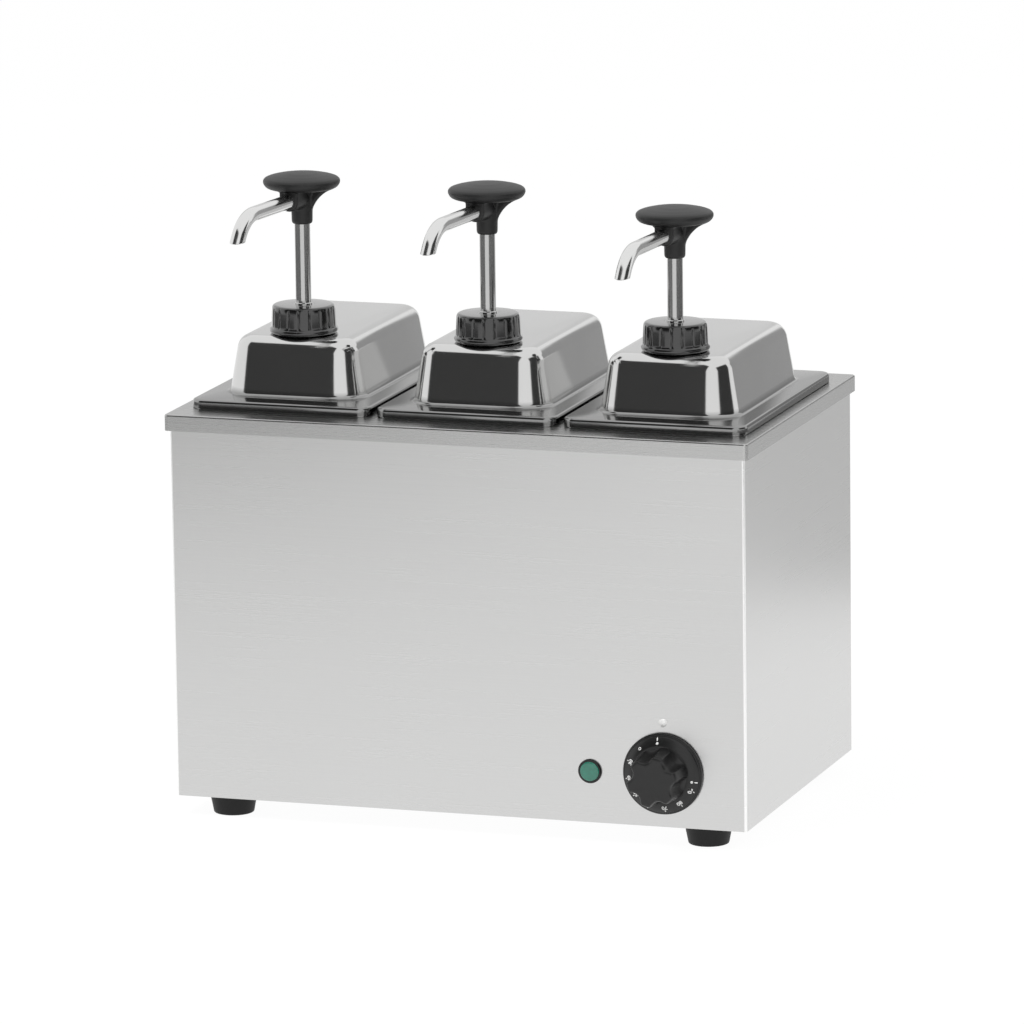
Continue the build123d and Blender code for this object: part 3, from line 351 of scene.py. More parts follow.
def lens_green():
    """Green moulding with faint cells inside it, lit from behind a little."""
    lens = Shader("lens_green")
    cells = lens.noise(260.0, detail=1.0)
    colour = lens.blend(cells.clamped(), (0.004, 0.115, 0.075), (0.012, 0.19, 0.125))
    lens.set(Base_Color=colour, Roughness=0.22 + (cells - 0.5) * 0.1, Emission_Color=colour)
    return lens.set(Emission_Strength=0.12, Coat_Weight=1.0, Coat_Roughness=0.05)


lens_material = lens_green()
print("materials:", len(bpy.data.materials))


# %% [markdown]
# ## Small modelling helpers
#
# Round pieces are turned: a profile of radius and height pairs is spun about the Z axis.
# `finish_piece` turns a bmesh into an object that rides on its body, with smooth shading
# that stays crisp where two faces meet at more than the sharp angle, in degrees.


# %% Modelling helpers
SAME_POINT = 0.002 * MM


def mesh_of(bm, name):
    """The mesh of a bmesh, which is freed."""
    mesh = bpy.data.meshes.new(name)
    bm.to_mesh(mesh)
    bm.free()
    return mesh


def add_to(whole, part):
    """Adds one bmesh to another."""
    mesh = mesh_of(part, "part")
    whole.from_mesh(mesh)
    bpy.data.meshes.remove(mesh)


def put_in_scene(name, data):
    made = bpy.data.objects.new(name, data)
    bpy.context.scene.collection.objects.link(made)
    return made


def clean_up(bm):
    bmesh.ops.remove_doubles(bm, verts=bm.verts, dist=SAME_POINT)
    bmesh.ops.recalc_face_normals(bm, faces=bm.faces)


def finish_piece(name, bm, body, material, replaces=(), sharp=32.0, move=None):
    clean_up(bm)
    if move is not None:
        bmesh.ops.transform(bm, matrix=move, verts=bm.verts)
    mesh = mesh_of(bm, name)
    mesh.shade_smooth()
    mesh.set_sharp_from_angle(angle=math.radians(sharp))
    mesh.materials.append(material)
    piece = put_in_scene(name, mesh)
    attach(piece, body)
    if replaces:
        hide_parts(*replaces)
    print(name, "faces", len(mesh.polygons))
    return piece


def turned(profile, steps=96):
    """A bmesh spun about Z from (radius, height) pairs in millimetres."""
    bm = bmesh.new()
    line = [bm.verts.new((r * MM, 0, z * MM)) for r, z in profile]
    edges = [bm.edges.new(pair) for pair in zip(line, line[1:])]
    bmesh.ops.spin(
        bm,
        geom=line + edges,
        cent=(0, 0, 0),
        axis=(0, 0, 1),
        angle=math.tau,
        steps=steps,
        use_merge=True,
        use_normal_flip=False,
        use_duplicate=False,
    )
    return bm


def once(items):
    """Each item once, in the order in which they come."""
    return list(dict.fromkeys(items))


def edges_at(made):
    """The edges of the circle that an operator has just made."""
    return once(e for v in made["verts"] for e in v.link_edges)


def of_kind(kind, geometry):
    """Those of one kind, such as vertices, in what an operator gives back."""
    return [g for g in geometry if isinstance(g, kind)]


def round_edges(bm, edges, offset, segments, clamp=True):
    """Gives edges a radius with the bevel operator; offset in millimetres."""
    bmesh.ops.bevel(
        bm,
        geom=edges,
        offset=offset * MM,
        offset_type="OFFSET",
        segments=segments,
        profile=0.5,
        affect="EDGES",
        clamp_overlap=clamp,
        material=-1,
    )


def bends_more(edge, degrees):
    return len(edge.link_faces) == 2 and edge.calc_face_angle(0) > math.radians(degrees)


def soften(bm, offset, segments, least=40):
    """Rounds the crisp edges of a bmesh, those that bend by more than some degrees."""
    bm.edges.ensure_lookup_table()
    bmesh.ops.recalc_face_normals(bm, faces=bm.faces)
    round_edges(bm, [e for e in bm.edges if bends_more(e, least)], offset, segments)


def at(node, z=0.0):
    """A matrix that moves a piece made round the Z axis onto a node's middle."""
    return Matrix.Translation(upright_through(node) + Vector((0, 0, z)))


def laid_to_front(y=0.0, z=0.0):
    """A matrix that turns a piece made along +Z to point to the front, then moves it."""
    return Matrix.Translation((0, y * MM, z * MM)) @ Matrix.Rotation(math.radians(90), 4, "X")


def about_upright(degrees, size=4):
    return Matrix.Rotation(math.radians(degrees), size, "Z")


# %% [markdown]
# ## The pressed lids
#
# A lid is pressed from one sheet: a flat rim with its edge turned down, and a drafted dome
# with generous radii. Here it is lofted from rounded rectangles. One ring is a circle
# whose four quarters are pushed apart, so that every ring has the same number of points
# and the bridge between two rings is clean quads. The crisp bends between the rings then
# get their radius from the bevel operator.

# %% Lid sections
CORNER_STEPS = 14


def ring(bm, width, length, radius, centre_y, z):
    """A rounded rectangle in millimetres: a circle with its quarters pushed apart."""
    made = bmesh.ops.create_circle(bm, segments=4 * CORNER_STEPS, radius=radius * MM)
    turn = Matrix.Rotation(math.pi / (4 * CORNER_STEPS), 4, "Z")
    bmesh.ops.transform(bm, matrix=turn, verts=made["verts"])
    for v in made["verts"]:
        v.co.x += math.copysign((width / 2 - radius) * MM, v.co.x)
        v.co.y += math.copysign((length / 2 - radius) * MM, v.co.y) + centre_y * MM
        v.co.z += z * MM
    return edges_at(made)


def loft(bm, rings):
    for first, second in zip(rings, rings[1:]):
        bmesh.ops.bridge_loops(bm, edges=first + second)


LID_WIDTH = (high("lid_2").x - low("lid_2").x) / MM
LID_LENGTH = (high("lid_2").y - low("lid_2").y) / MM
LID_BOTTOM = low("lid_2").z / MM
DOME_TOP = high("lid_2").z / MM
DOME_HEIGHT = 50.0
RIM_TOP = DOME_TOP - DOME_HEIGHT
DOME_WIDTH = 124.0
DOME_FRONT = 28.5
DOME_BACK = 26.0
DOME_LENGTH = LID_LENGTH - DOME_FRONT - DOME_BACK
DOME_Y = (DOME_FRONT - DOME_BACK) / 2
DRAFT = math.tan(math.radians(10.0))
RIM_CORNER_R = 12.0
FOOT_CORNER_R = 28.0
TOP_CORNER_R = 19.5
TOP_BEND = 11.0
FOOT_BEND = 4.0
RIM_BEND = 2.6
LID_SHEET = 1.0
NECK_HOLE_R = 17.3
NECK_Y = (pump_axis[2].y - middle("lid_2").y) / MM
print("lid", LID_WIDTH, LID_LENGTH, "rim at", RIM_TOP, "dome to", DOME_TOP)


# %% Lid
def edges_at_height(bm, z, degrees):
    """The edges at one height that bend by more than some degrees."""
    level = [e for e in bm.edges if all(abs(v.co.z / MM - z) < 0.01 for v in e.verts)]
    return [e for e in level if bends_more(e, degrees)]


def inside_dome(edge):
    across = all(abs(v.co.x / MM) < DOME_WIDTH / 2 + 1 for v in edge.verts)
    return across and abs(edge.verts[0].co.y / MM - DOME_Y) < DOME_LENGTH / 2 + 1


def lid_mesh():
    bm = bmesh.new()
    top_width = DOME_WIDTH - 2 * DOME_HEIGHT * DRAFT
    top_length = DOME_LENGTH - 2 * DOME_HEIGHT * DRAFT
    rings = [
        ring(bm, LID_WIDTH, LID_LENGTH, RIM_CORNER_R, 0, LID_BOTTOM),
        ring(bm, LID_WIDTH, LID_LENGTH, RIM_CORNER_R, 0, RIM_TOP),
        ring(bm, DOME_WIDTH, DOME_LENGTH, FOOT_CORNER_R, DOME_Y, RIM_TOP),
        ring(bm, top_width, top_length, TOP_CORNER_R, DOME_Y, DOME_TOP),
        ring(bm, 2 * NECK_HOLE_R, 2 * NECK_HOLE_R, NECK_HOLE_R, NECK_Y, DOME_TOP),
    ]
    loft(bm, rings)
    bmesh.ops.recalc_face_normals(bm, faces=bm.faces)
    round_edges(bm, edges_at_height(bm, DOME_TOP, 8), TOP_BEND, 10)
    foot = [e for e in edges_at_height(bm, RIM_TOP, 20) if inside_dome(e)]
    round_edges(bm, foot, FOOT_BEND, 6, clamp=False)
    round_edges(bm, edges_at_height(bm, RIM_TOP, 8), RIM_BEND, 6)
    return bm


for n in PLACES:
    lid = f"lid_{n}"
    bm = lid_mesh()
    bmesh.ops.solidify(bm, geom=bm.faces[:], thickness=LID_SHEET * MM)
    finish_piece(f"lid_shell_{n}", bm, lid, lid_steel, [lid], 50.0, at(lid))

# %% [markdown]
# ## Pump caps
#
# The ring nut on each dome has eighteen broad ribs between narrow grooves, a rounded
# shoulder, and a plain ring that bulges at its foot and tucks in under itself. It is
# lofted from circles. Each circle has the same points, and in the ribbed band the points
# near a groove are drawn inwards, so the grooves run out softly at both ends.

# %% Caps
CAP_RIBS = 18
RIB_POINTS = 16
GROOVE_SHARE = 0.30
CAP_PROFILE = [
    (9.15, 21.0, 0),
    (9.15, 25.0, 0),
    (23.5, 25.0, 0),
    (25.0, 24.85, 0),
    (26.1, 24.35, 0),
    (26.8, 23.5, 0.10),
    (27.1, 22.4, 0.45),
    (27.25, 21.2, 0.85),
    (27.4, 19.0, 1.0),
    (27.85, 8.2, 1.0),
    (27.9, 6.8, 0.55),
    (28.0, 5.9, 0.10),
    (28.5, 5.3, 0),
    (29.2, 4.7, 0),
    (29.55, 3.8, 0),
    (29.55, 2.8, 0),
    (29.2, 1.7, 0),
    (28.3, 0.7, 0),
    (26.8, 0.1, 0),
    (17.35, 0.0, 0),
    (17.35, 21.0, 0),
    (9.15, 21.0, 0),
]


def fluted_circle(bm, radius, z, depth):
    """One circle of the cap in millimetres, drawn inwards by depth at each groove."""
    made = bmesh.ops.create_circle(bm, segments=CAP_RIBS * RIB_POINTS, radius=radius * MM)
    for v in made["verts"]:
        turn = math.atan2(v.co.y, v.co.x) / math.tau * CAP_RIBS
        off_groove = abs(turn - round(turn)) * 2
        pull = max(0.0, 1.0 - off_groove / GROOVE_SHARE)
        pull = pull * pull * (3 - 2 * pull)
        v.co *= 1 - depth / radius * pull
        v.co.z = z * MM
    return edges_at(made)


for n in PLACES:
    cap = f"pump_cap_{n}"
    bm = bmesh.new()
    loft(bm, [fluted_circle(bm, *section) for section in CAP_PROFILE])
    place = at(cap, low(cap).z)
    finish_piece(f"cap_shell_{n}", bm, f"lid_{n}", cap_black, [cap], 50.0, place)


# %% [markdown]
# ## Spouts
#
# A spout is steel tube, bent once and cut level at its mouth. A circle is drawn out along
# the arm, spun round the centre of the bend, drawn out again to the tip and cut with a
# plane. The wall is added inwards, and the mouth's edges are rounded a little, as after
# polishing.

# %% Spouts
SPOUT_R = 6.4
SPOUT_WALL = 1.2
SPOUT_ROOT = 10.0
SPOUT_STRAIGHT = 92.0
SPOUT_BEND_R = 34.0
SPOUT_TURN = math.radians(56.0)
SPOUT_TIP = 10.0
SPOUT_TRIM = 8.0
MOUTH_R = 0.45
HEAD_TURN = {1: 6.7, 2: 5.3, 3: 3.6}
ARM_ABOVE_NECK = 22.5


def draw_out(bm, loop, direction, length, steps):
    """Extrudes an open loop of edges along a direction, in even steps."""
    for _ in range(steps):
        out = bmesh.ops.extrude_edge_only(bm, edges=loop)["geom"]
        loop = of_kind(bmesh.types.BMEdge, out)
        step = direction * (length * MM / steps)
        bmesh.ops.translate(bm, vec=step, verts=of_kind(bmesh.types.BMVert, out))
    return loop


def spout_mesh():
    bm = bmesh.new()
    lay = laid_to_front(-SPOUT_ROOT)
    made = bmesh.ops.create_circle(bm, segments=64, radius=SPOUT_R * MM, matrix=lay)
    loop = draw_out(bm, edges_at(made), Vector((0, -1, 0)), SPOUT_STRAIGHT - SPOUT_ROOT, 12)
    spun = bmesh.ops.spin(
        bm,
        geom=loop + once(v for e in loop for v in e.verts),
        cent=(0, -SPOUT_STRAIGHT * MM, -SPOUT_BEND_R * MM),
        axis=(1, 0, 0),
        angle=SPOUT_TURN,
        steps=28,
        use_merge=False,
        use_normal_flip=False,
        use_duplicate=False,
    )
    loop = of_kind(bmesh.types.BMEdge, spun["geom_last"])
    down = Vector((0, -math.cos(SPOUT_TURN), -math.sin(SPOUT_TURN)))
    draw_out(bm, loop, down, SPOUT_TIP + SPOUT_TRIM, 8)
    level = SPOUT_R * math.cos(SPOUT_TURN) - SPOUT_BEND_R * (1 - math.cos(SPOUT_TURN))
    level -= SPOUT_TIP * math.sin(SPOUT_TURN)
    bmesh.ops.bisect_plane(
        bm,
        geom=bm.verts[:] + bm.edges[:] + bm.faces[:],
        plane_co=(0, 0, level * MM),
        plane_no=(0, 0, -1),
        clear_outer=True,
    )
    bmesh.ops.recalc_face_normals(bm, faces=bm.faces)
    bmesh.ops.solidify(bm, geom=bm.faces[:], thickness=SPOUT_WALL * MM)
    soften(bm, MOUTH_R, 3)
    return bm


def on_rod(n, above=0.0):
    """The place of a pump head's piece, some millimetres above the foot of its neck."""
    root = pump_axis[n] + Vector((0, 0, low(f"pump_knob_{n}").z + above * MM))
    return Matrix.Translation(root) @ about_upright(-HEAD_TURN[n])


for n in PLACES:
    body, spout = f"pump_head_{n}", f"spout_{n}"
    bm, place = spout_mesh(), on_rod(n, ARM_ABOVE_NECK)
    finish_piece(f"spout_tube_{n}", bm, body, spout_steel, [spout], 40.0, place)


# %% [markdown]
# ## Pump heads
#
# A head is one moulding: a crowned disc, a neck for the rod, three hollow-edged gussets
# and a boss for the spout. Its plain solids are put in one mesh, remeshed to a fine even
# skin and smoothed, which gives all the inner corners the soft radii of a moulded part.

# %% Heads
DISC = [
    (0, 44.3),
    (12, 43.75),
    (22, 42.3),
    (28, 40.9),
    (31.2, 39.7),
    (32.8, 38.2),
    (33.2, 36.6),
    (32.9, 35.0),
    (31.9, 33.2),
    (30.3, 31.6),
    (28.0, 30.7),
    (24.0, 30.4),
    (0, 30.4),
]
NECK = [
    (6.9, 15.0),
    (6.9, -0.2),
    (7.6, -0.2),
    (8.7, 0.8),
    (9.0, 2.4),
    (9.2, 12.0),
    (9.9, 24.0),
    (11.6, 29.0),
    (15.0, 31.5),
    (0, 31.5),
    (0, 15.0),
    (6.9, 15.0),
]
BOSS = [(0, 0), (8.9, 0), (8.9, 25.4), (8.2, 26.7), (0, 27.0)]
GUSSET_HOLLOW_R = 32.0
GUSSET_FOOT = 10.5
GUSSET_REACH = 28.6
GUSSET_TOP = 32.0
GUSSET_HALF = 2.2
GUSSET_STEPS = 12
TIP_EDGE = 1.2
NECK_R = 8.9
WEB_WIDTH = 17.4
WEB_LENGTH = 26.0
WEB_HEIGHT = 9.5
WEB_RISE = 4.5
SKIN_VOXEL = 0.75
SKIN_ROUNDS = 7


def gusset(angle):
    """A plate between the neck and the disc, its free edge hollowed by an arc."""
    bm = bmesh.new()
    foot = Vector((NECK_R, GUSSET_FOOT))
    tip = Vector((GUSSET_REACH, GUSSET_TOP - TIP_EDGE))
    chord = tip - foot
    rise = math.sqrt(GUSSET_HOLLOW_R**2 - (chord.length / 2) ** 2)
    centre = (foot + tip) / 2 + Vector((chord.y, -chord.x)).normalized() * rise
    first = math.atan2(foot.y - centre.y, foot.x - centre.x)
    last = math.atan2(tip.y - centre.y, tip.x - centre.x)
    outline = [(0, GUSSET_FOOT)]
    for step in range(GUSSET_STEPS + 1):
        a = first + (last - first) * step / GUSSET_STEPS
        x = centre.x + math.cos(a) * GUSSET_HOLLOW_R
        outline.append((x, centre.y + math.sin(a) * GUSSET_HOLLOW_R))
    outline += [(GUSSET_REACH, GUSSET_TOP), (0, GUSSET_TOP)]
    side = -GUSSET_HALF * MM
    face = bm.faces.new([bm.verts.new((x * MM, side, z * MM)) for x, z in outline])
    moved = of_kind(bmesh.types.BMVert, bmesh.ops.extrude_face_region(bm, geom=[face])["geom"])
    bmesh.ops.translate(bm, vec=(0, 2 * GUSSET_HALF * MM, 0), verts=moved)
    bmesh.ops.rotate(bm, cent=(0, 0, 0), matrix=about_upright(angle, 3), verts=bm.verts)
    return bm


def web():
    """The block between the spout's boss and the disc."""
    bm = bmesh.new()
    bmesh.ops.create_cube(bm, size=1.0)
    size = (WEB_WIDTH * MM, WEB_LENGTH * MM, WEB_HEIGHT * MM)
    bmesh.ops.scale(bm, vec=size, verts=bm.verts)
    centre = (0, -WEB_LENGTH / 2 * MM, (ARM_ABOVE_NECK + WEB_RISE) * MM)
    bmesh.ops.translate(bm, vec=centre, verts=bm.verts)
    return bm


def joined(parts):
    """Puts closed meshes that overlap into one bmesh."""
    whole = bmesh.new()
    for part in parts:
        clean_up(part)
        add_to(whole, part)
    return whole


def moulded_skin(bm, voxel, rounds):
    """One even skin round overlapping solids, with softened corners."""
    holder = put_in_scene("skin", mesh_of(bm, "skin"))
    skin = holder.modifiers.new("skin", "REMESH")
    skin.mode = "VOXEL"
    skin.voxel_size = voxel * MM
    smooth = holder.modifiers.new("smooth", "SMOOTH")
    smooth.factor = 0.5
    smooth.iterations = rounds
    graph = bpy.context.evaluated_depsgraph_get()
    made = bpy.data.meshes.new_from_object(holder.evaluated_get(graph))
    bpy.data.objects.remove(holder)
    result = bmesh.new()
    result.from_mesh(made)
    bpy.data.meshes.remove(made)
    return result


def head_mesh():
    boss = turned(BOSS, 64)
    bmesh.ops.transform(boss, matrix=laid_to_front(0.0, ARM_ABOVE_NECK), verts=boss.verts)
    parts = [turned(DISC), turned(NECK), boss, web()] + [gusset(a) for a in (0, 90, 180)]
    return moulded_skin(joined(parts), SKIN_VOXEL, SKIN_ROUNDS)


for n in PLACES:
    body, knob = f"pump_head_{n}", f"pump_knob_{n}"
    bm, place = head_mesh(), on_rod(n)
    finish_piece(f"head_{n}", bm, body, head_black, [knob], 70.0, place)


# %% [markdown]
# ## Dial and its scale
#
# The dial faces the front, so it is made about Z and then laid down. Its skirt slopes
# towards its rim, which has two fine steps, and the grip is a star of six hollows that
# deepen towards its face. The scale is small raised enamel: dots, ticks and numbers.

# %% Dial
DIAL_FACE = (middle("control_dial").x, high("control_dial").y, middle("control_dial").z)
DIAL_PLACE = Matrix.Translation(DIAL_FACE) @ laid_to_front()
SKIRT = [
    (9.0, 0.2),
    (33.0, 0.2),
    (33.6, 0.0),
    (34.7, 0.0),
    (35.0, 0.3),
    (35.0, 1.7),
    (34.75, 2.1),
    (34.1, 2.25),
    (33.95, 2.8),
    (33.6, 3.1),
    (33.0, 3.25),
    (32.85, 3.9),
    (32.4, 4.4),
    (26.0, 7.85),
    (25.2, 8.0),
    (9.0, 8.0),
    (9.0, 0.2),
]
bm = turned(SKIRT, 160)
finish_piece("dial_skirt", bm, "dial", dial_black, ["control_dial"], 24.0, DIAL_PLACE)

GRIP_POINTS = 240
GRIP_HOLLOWS = 6
GRIP_PHASE = math.radians(15)
HOLLOW_DEPTH = 5.0
HOLLOW_SHARE = 0.66
HOLLOW_CURVE = 0.8
GRIP_PROFILE = [
    (24.4, 7.9, 0.30),
    (24.3, 9.0, 0.55),
    (23.9, 14.0, 0.90),
    (23.1, 24.0, 1.0),
    (22.6, 30.0, 1.0),
    (22.3, 32.6, 1.0),
    (21.8, 33.9, 1.0),
    (21.0, 34.7, 1.0),
    (20.0, 35.0, 1.0),
    (17.0, 34.85, 0.9),
    (12.0, 34.7, 0.5),
    (6.0, 34.6, 0.1),
]


def grip_circle(bm, radius, z, share):
    """One circle of the grip in millimetres, with a share of the hollows' full depth."""
    made = bmesh.ops.create_circle(bm, segments=GRIP_POINTS, radius=radius * MM)
    for v in made["verts"]:
        turn = (math.atan2(v.co.y, v.co.x) + GRIP_PHASE) / math.tau * GRIP_HOLLOWS
        off = abs(turn - round(turn)) * 2
        pull = max(0.0, 1.0 - (off / HOLLOW_SHARE) ** 2)
        v.co *= 1 - HOLLOW_DEPTH * share * pull**HOLLOW_CURVE / radius
        v.co.z = z * MM
    return edges_at(made)


bm = bmesh.new()
grip_rings = [grip_circle(bm, *section) for section in GRIP_PROFILE]
loft(bm, grip_rings)
bmesh.ops.contextual_create(bm, geom=grip_rings[-1])
finish_piece("dial_grip", bm, "dial", dial_black, (), 38.0, DIAL_PLACE)


SCALE_INNER = Vector((26.0, 7.85))
SCALE_OUTER = Vector((32.4, 4.4))
SCALE_SLOPE = math.atan2(SCALE_INNER.y - SCALE_OUTER.y, SCALE_OUTER.x - SCALE_INNER.x)
NUMBERS = {115: "90", 145: "80", 174: "70", 203: "60", 232: "50", 261: "40", 290: "30"}
NUMBER_R = 28.2
NUMBER_SIZE = 4.9
NUMBER_BOLD = 0.18
NUMBER_RISE = 0.14
NUMBER_TICK_R = 31.3
NUMBER_TICK = Matrix.Diagonal((0.42, 0.8, 1, 1))
DOTS = (-6, 99)
DOT_R = 27.6
DOT_TICK_R = 30.9
DOT_TICK = Matrix.Diagonal((0.5, 1.45, 1, 1))
RING_ANGLE = -40
RING_R = 28.6


def on_scale(angle, radius):
    """The frame of a mark: clockwise angle from the top, radius in millimetres."""
    share = (radius - SCALE_INNER.x) / (SCALE_OUTER.x - SCALE_INNER.x)
    height = SCALE_INNER.y + share * (SCALE_OUTER.y - SCALE_INNER.y)
    out = Matrix.Translation((0, radius * MM, height * MM))
    return DIAL_PLACE @ about_upright(-angle) @ out @ Matrix.Rotation(-SCALE_SLOPE, 4, "X")


def add_number(bm, text, place):
    """Outlines of plain figures, thickened and raised a little."""
    figures = bpy.data.curves.new("figures", "FONT")
    figures.body = text
    figures.align_x = "CENTER"
    figures.align_y = "CENTER"
    figures.size = NUMBER_SIZE * MM
    figures.offset = NUMBER_BOLD * MM
    figures.extrude = NUMBER_RISE * MM
    holder = bpy.data.objects.new("figures", figures)
    mesh = bpy.data.meshes.new_from_object(holder)
    mesh.transform(place)
    bm.from_mesh(mesh)
    bpy.data.objects.remove(holder)
    bpy.data.meshes.remove(mesh)


def add_turned(bm, profile, place, steps=24):
    """Adds a small turned mark to a bmesh."""
    part = turned(profile, steps)
    bmesh.ops.transform(part, matrix=place, verts=part.verts)
    add_to(bm, part)


bm = bmesh.new()
DOT = [(0, 0.25), (0.9, 0.22), (1.15, 0.1), (1.2, -0.2)]
RING = [(0.75, -0.2), (0.75, 0.2), (1.35, 0.2), (1.35, -0.2)]
for angle in DOTS:
    add_turned(bm, DOT, on_scale(angle, DOT_R))
    add_turned(bm, DOT, on_scale(angle, DOT_TICK_R) @ DOT_TICK)
for angle, text in NUMBERS.items():
    add_number(bm, text, on_scale(angle, NUMBER_R))
    add_turned(bm, DOT, on_scale(angle, NUMBER_TICK_R) @ NUMBER_TICK)
add_turned(bm, RING, on_scale(RING_ANGLE, RING_R))
finish_piece("dial_scale", bm, "dial", mark_white, (), 50.0)


# %% [markdown]
# ## Finishes for the engineering pieces that stay
#
# The cabinet sheets, the tank, the pans, the pump's inner pieces, the pilot lamp, the feet
# and the screws already have their true shape, with smooth bends. They keep their meshes
# and only get a finish.


# %% Finishes of the kept pieces
def at_each_place(*pieces):
    return [f"{piece}_{n}" for piece in pieces for n in PLACES]


KEPT = {
    panel_steel: ["cabinet_wrap", "back_panel"],
    plate_steel: ["top_plate"],
    inner_steel: ["base_plate", "well_tank", "element_straps"],
    pan_steel: at_each_place("pan"),
    tube_steel: at_each_place("plunger_tube", "guide_bush", "return_spring"),
    screw_steel: ["back_screws", "foot_screws", "thermostat_shaft"],
    foot_rubber: ["feet"],
    gland_nylon: ["cable_gland"],
    ceramic_white: ["terminal_block"],
    case_cream: ["thermostat_body"],
    copper: ["thermostat_bulb"],
    sheath: ["heating_element"],
    wool: ["well_insulation"],
    lamp_black: ["pilot_lamp_body"],
    lens_material: ["pilot_lamp_lens"],
    enamel_white: ["index_marker"],
    barrel_plastic: at_each_place("pump_barrel", "foot_valve", "piston"),
    ball_steel: at_each_place("suction_ball", "discharge_ball"),
}
for material, names in KEPT.items():
    for name in names:
        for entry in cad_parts[name].material_slots:
            entry.material = material
kept_names = {name for names in KEPT.values() for name in names}
print("replaced:", sorted(set(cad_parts) - kept_names))

# %% [markdown]
# Each return spring stands on the barrel's floor and shortens as its pump is pressed; here it
# only gets a mesh of its own.

# %% Return springs
STROKES = {1: 52.0, 2: 52.0, 3: 38.0}
for n, stroke in STROKES.items():
    spring = f"return_spring_{n}"
    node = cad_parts[spring]
    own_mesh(node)

# %% [markdown]
# ## Stage, light and camera
#
# Bright metal shows its surroundings, so the surroundings matter more than the lamps. A
# white world and a pale floor give the bright sheet. A dark card at the front left gives
# the dome fronts their dark, mirror-like look, as a dark studio does. The cards are seen
# only in reflections, and the lamps not even there.


# %% Stage
CAMERA_RAY, GLOSSY_RAY, TRANSMISSION_RAY = 0, 3, 6
FLOOR_TONE = grey(0.86)
FLOOR_SHOWN = 0.92
FLOOR_GLOW = 1.04
FLOOR_SIZE = 30.0
ABOVE_FLOOR = 0.002


def stage_material(name, tone, shown):
    """Pale matt paint that seems to glow a little to the camera and in metal."""
    paint = Shader(name)
    rays = (CAMERA_RAY, GLOSSY_RAY, TRANSMISSION_RAY)
    path = [paint.node("ShaderNodeLightPath", output=ray) for ray in rays]
    seen = (path[0] + path[1] + path[2]).clamped()
    grain = paint.noise(3.0).clamped()
    paint.set(Base_Color=paint.blend(grain, tone, tuple(c * 0.97 for c in tone)), Roughness=0.9)
    shine = {"Color": (1, 1, 1, 1), "Strength": FLOOR_GLOW}
    glow = paint.node("ShaderNodeEmission", None, shine).socket
    mix = paint.node("ShaderNodeMixShader", None, {"Fac": seen * shown}).socket.node
    paint.links.new(paint.principled.outputs[0], mix.inputs[1])
    paint.links.new(glow, mix.inputs[2])
    paint.links.new(mix.outputs[0], paint.nodes["Material Output"].inputs["Surface"])
    return paint.material


def sheet(name, half, stretch=(1, 1, 1)):
    """A flat square mesh of half a side, stretched."""
    bm = bmesh.new()
    bmesh.ops.create_grid(bm, x_segments=1, y_segments=1, size=half)
    bmesh.ops.scale(bm, vec=stretch, verts=bm.verts)
    return mesh_of(bm, name)


def card_piece(name, mesh, paint, colour):
    """Shows a mesh in reflections only, in its own colour."""
    paint.set(Base_Color=(0, 0, 0, 1), Roughness=1.0)
    paint.set(Emission_Color=colour, Emission_Strength=1.0)
    mesh.materials.append(paint.material)
    made = put_in_scene(name, mesh)
    made.visible_camera = False
    made.visible_diffuse = False
    made.visible_shadow = False
    made.visible_transmission = False
    return made


def card(name, width, height, tone, soft):
    """An upright card whose shade fades into the white round it."""
    paint = Shader(name + "_paint")
    coordinate = paint.node("ShaderNodeTexCoord", output="Object")
    inside = []
    for axis, side in ((X, width), (Y, height)):
        way = paint.node("ShaderNodeSeparateXYZ", None, {0: coordinate}, output=axis)
        inside.append(((side / 2 - way.size()) / soft).clamped())
    colour = paint.blend(inside[0] * inside[1], (1, 1, 1), tone)
    return card_piece(name, sheet(name, 0.5, (width, height, 1)), paint, colour)


floor_mesh = sheet("floor", FLOOR_SIZE)
floor_mesh.materials.append(stage_material("floor_paint", FLOOR_TONE, FLOOR_SHOWN))
put_in_scene("floor", floor_mesh)


def facing(made, azimuth, elevation, distance, target):
    """Stands a card, a lamp or a camera at an angle round a point, turned away from it
    along its own +Z, so that a lamp or a camera, which looks along -Z, looks at it."""
    a = math.radians(azimuth)
    e = math.radians(elevation)
    away = Vector((math.sin(a) * math.cos(e), -math.cos(a) * math.cos(e), math.sin(e)))
    made.location = Vector(target) + away * distance
    made.rotation_euler = away.to_track_quat("Z", "Y").to_euler()


def floor_card(name, first, last, inner, outer, tone):
    """A dark sheet on the floor, a sector round the object between two azimuths."""
    bm = bmesh.new()
    start = math.radians(first - 90)
    c, s = math.cos(start), math.sin(start)
    ends = [bm.verts.new((c * r, s * r, ABOVE_FLOOR)) for r in (inner, outer)]
    line = ends + [bm.edges.new(ends)]
    angle = math.radians(last - first)
    bmesh.ops.spin(bm, geom=line, cent=(0, 0, 0), axis=(0, 0, 1), angle=angle, steps=24)
    return card_piece(name, mesh_of(bm, name), Shader(name + "_paint"), (*tone, 1))


EYE = (0, 0, 0.38)
facing(card("dark_card_front", 3.7, 3.7, grey(0.045), 0.28), -27, 29, 3.0, EYE)
facing(card("dark_card_right", 3.6, 2.6, grey(0.04), 0.3), 82, 20, 3.2, EYE)
facing(card("grey_card_side", 2.6, 2.2, grey(0.36), 0.3), 153, 8, 3.6, EYE)
facing(card("grey_card_back", 3.4, 2.6, grey(0.74), 0.3), 205, 12, 3.8, EYE)
floor_card("floor_card_left", -110, -18, 1.9, 5.0, grey(0.16))
floor_card("floor_card_right", 38, 140, 1.9, 4.4, grey(0.12))
floor_card("floor_card_back", 140, 185, 1.0, 3.4, grey(0.62))

# %% Light
LIT_POINT = (0, 0, 0.3)


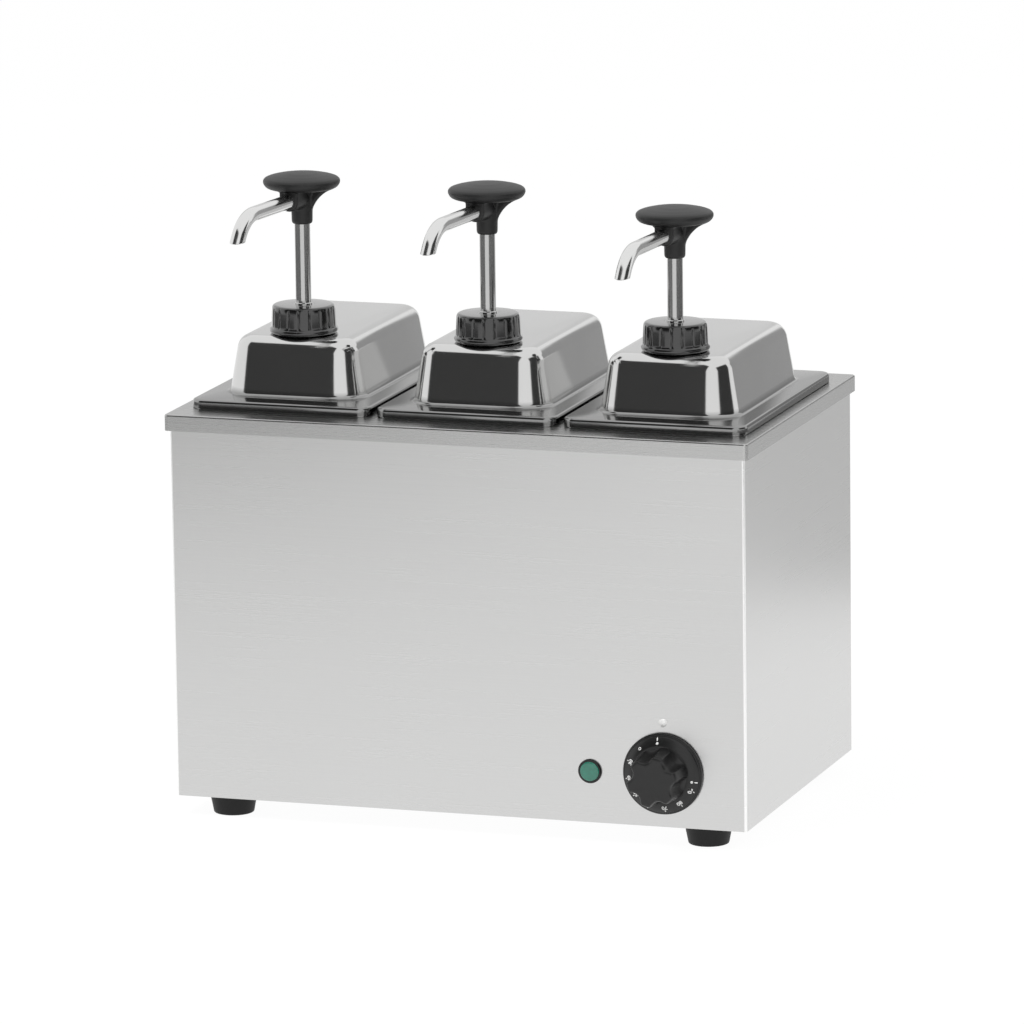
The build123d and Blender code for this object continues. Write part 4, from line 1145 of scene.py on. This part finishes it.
def lamp(name, azimuth, elevation, distance, size, power):
    """A soft lamp that lights the object but doesn't show in its metal."""
    light = bpy.data.lights.new(name, "AREA")
    light.shape = "RECTANGLE"
    light.size, light.size_y = size
    light.energy = power
    made = put_in_scene(name, light)
    made.visible_glossy = False
    facing(made, azimuth, elevation, distance, LIT_POINT)


lamp("key", -35, 55, 2.6, (1.6, 1.2), 38)
lamp("fill", 60, 35, 3.0, (1.2, 1.2), 18)

# The world is pure white where it is seen or mirrored, and weaker as a light.
WORLD_LIGHT = 0.55
WORLD_SEEN = 1.0
world = bpy.data.worlds.new("studio")
bpy.context.scene.world = world
world.use_nodes = True
tree = world.node_tree
paths = tree.nodes.new("ShaderNodeLightPath")
seen = tree.nodes.new("ShaderNodeMath")
seen.operation = "ADD"
seen.use_clamp = True
both = tree.nodes.new("ShaderNodeMath")
both.operation = "ADD"
tree.links.new(paths.outputs["Is Camera Ray"], seen.inputs[0])
tree.links.new(paths.outputs["Is Glossy Ray"], seen.inputs[1])
tree.links.new(seen.outputs[0], both.inputs[0])
tree.links.new(paths.outputs["Is Transmission Ray"], both.inputs[1])
strength = tree.nodes.new("ShaderNodeMapRange")
strength.inputs["To Min"].default_value = WORLD_LIGHT
strength.inputs["To Max"].default_value = WORLD_SEEN
tree.links.new(both.outputs[0], strength.inputs["Value"])
tree.nodes["Background"].inputs["Color"].default_value = (1, 1, 1, 1)
tree.links.new(strength.outputs[0], tree.nodes["Background"].inputs["Strength"])

# %% Camera
CAMERA_AZIMUTH = 18.38
CAMERA_ELEVATION = 11.53
CAMERA_ROLL = -0.7
CAMERA_DISTANCE = 7.5
CAMERA_TARGET = Vector((-0.0019, middle("cabinet_wrap").y, 0.2485))
CAMERA_LENS = 305.34
camera = put_in_scene("camera", bpy.data.cameras.new("camera"))
camera.data.lens = CAMERA_LENS
camera.data.sensor_width = 36.0
camera.data.clip_end = 50.0
facing(camera, CAMERA_AZIMUTH, CAMERA_ELEVATION, CAMERA_DISTANCE, CAMERA_TARGET)
camera.rotation_mode = "QUATERNION"
straight = (CAMERA_TARGET - camera.location).to_track_quat("-Z", "Y")
camera.rotation_quaternion = straight @ about_upright(CAMERA_ROLL, 3).to_quaternion()
bpy.context.scene.camera = camera
bpy.context.scene.view_settings.view_transform = "Standard"
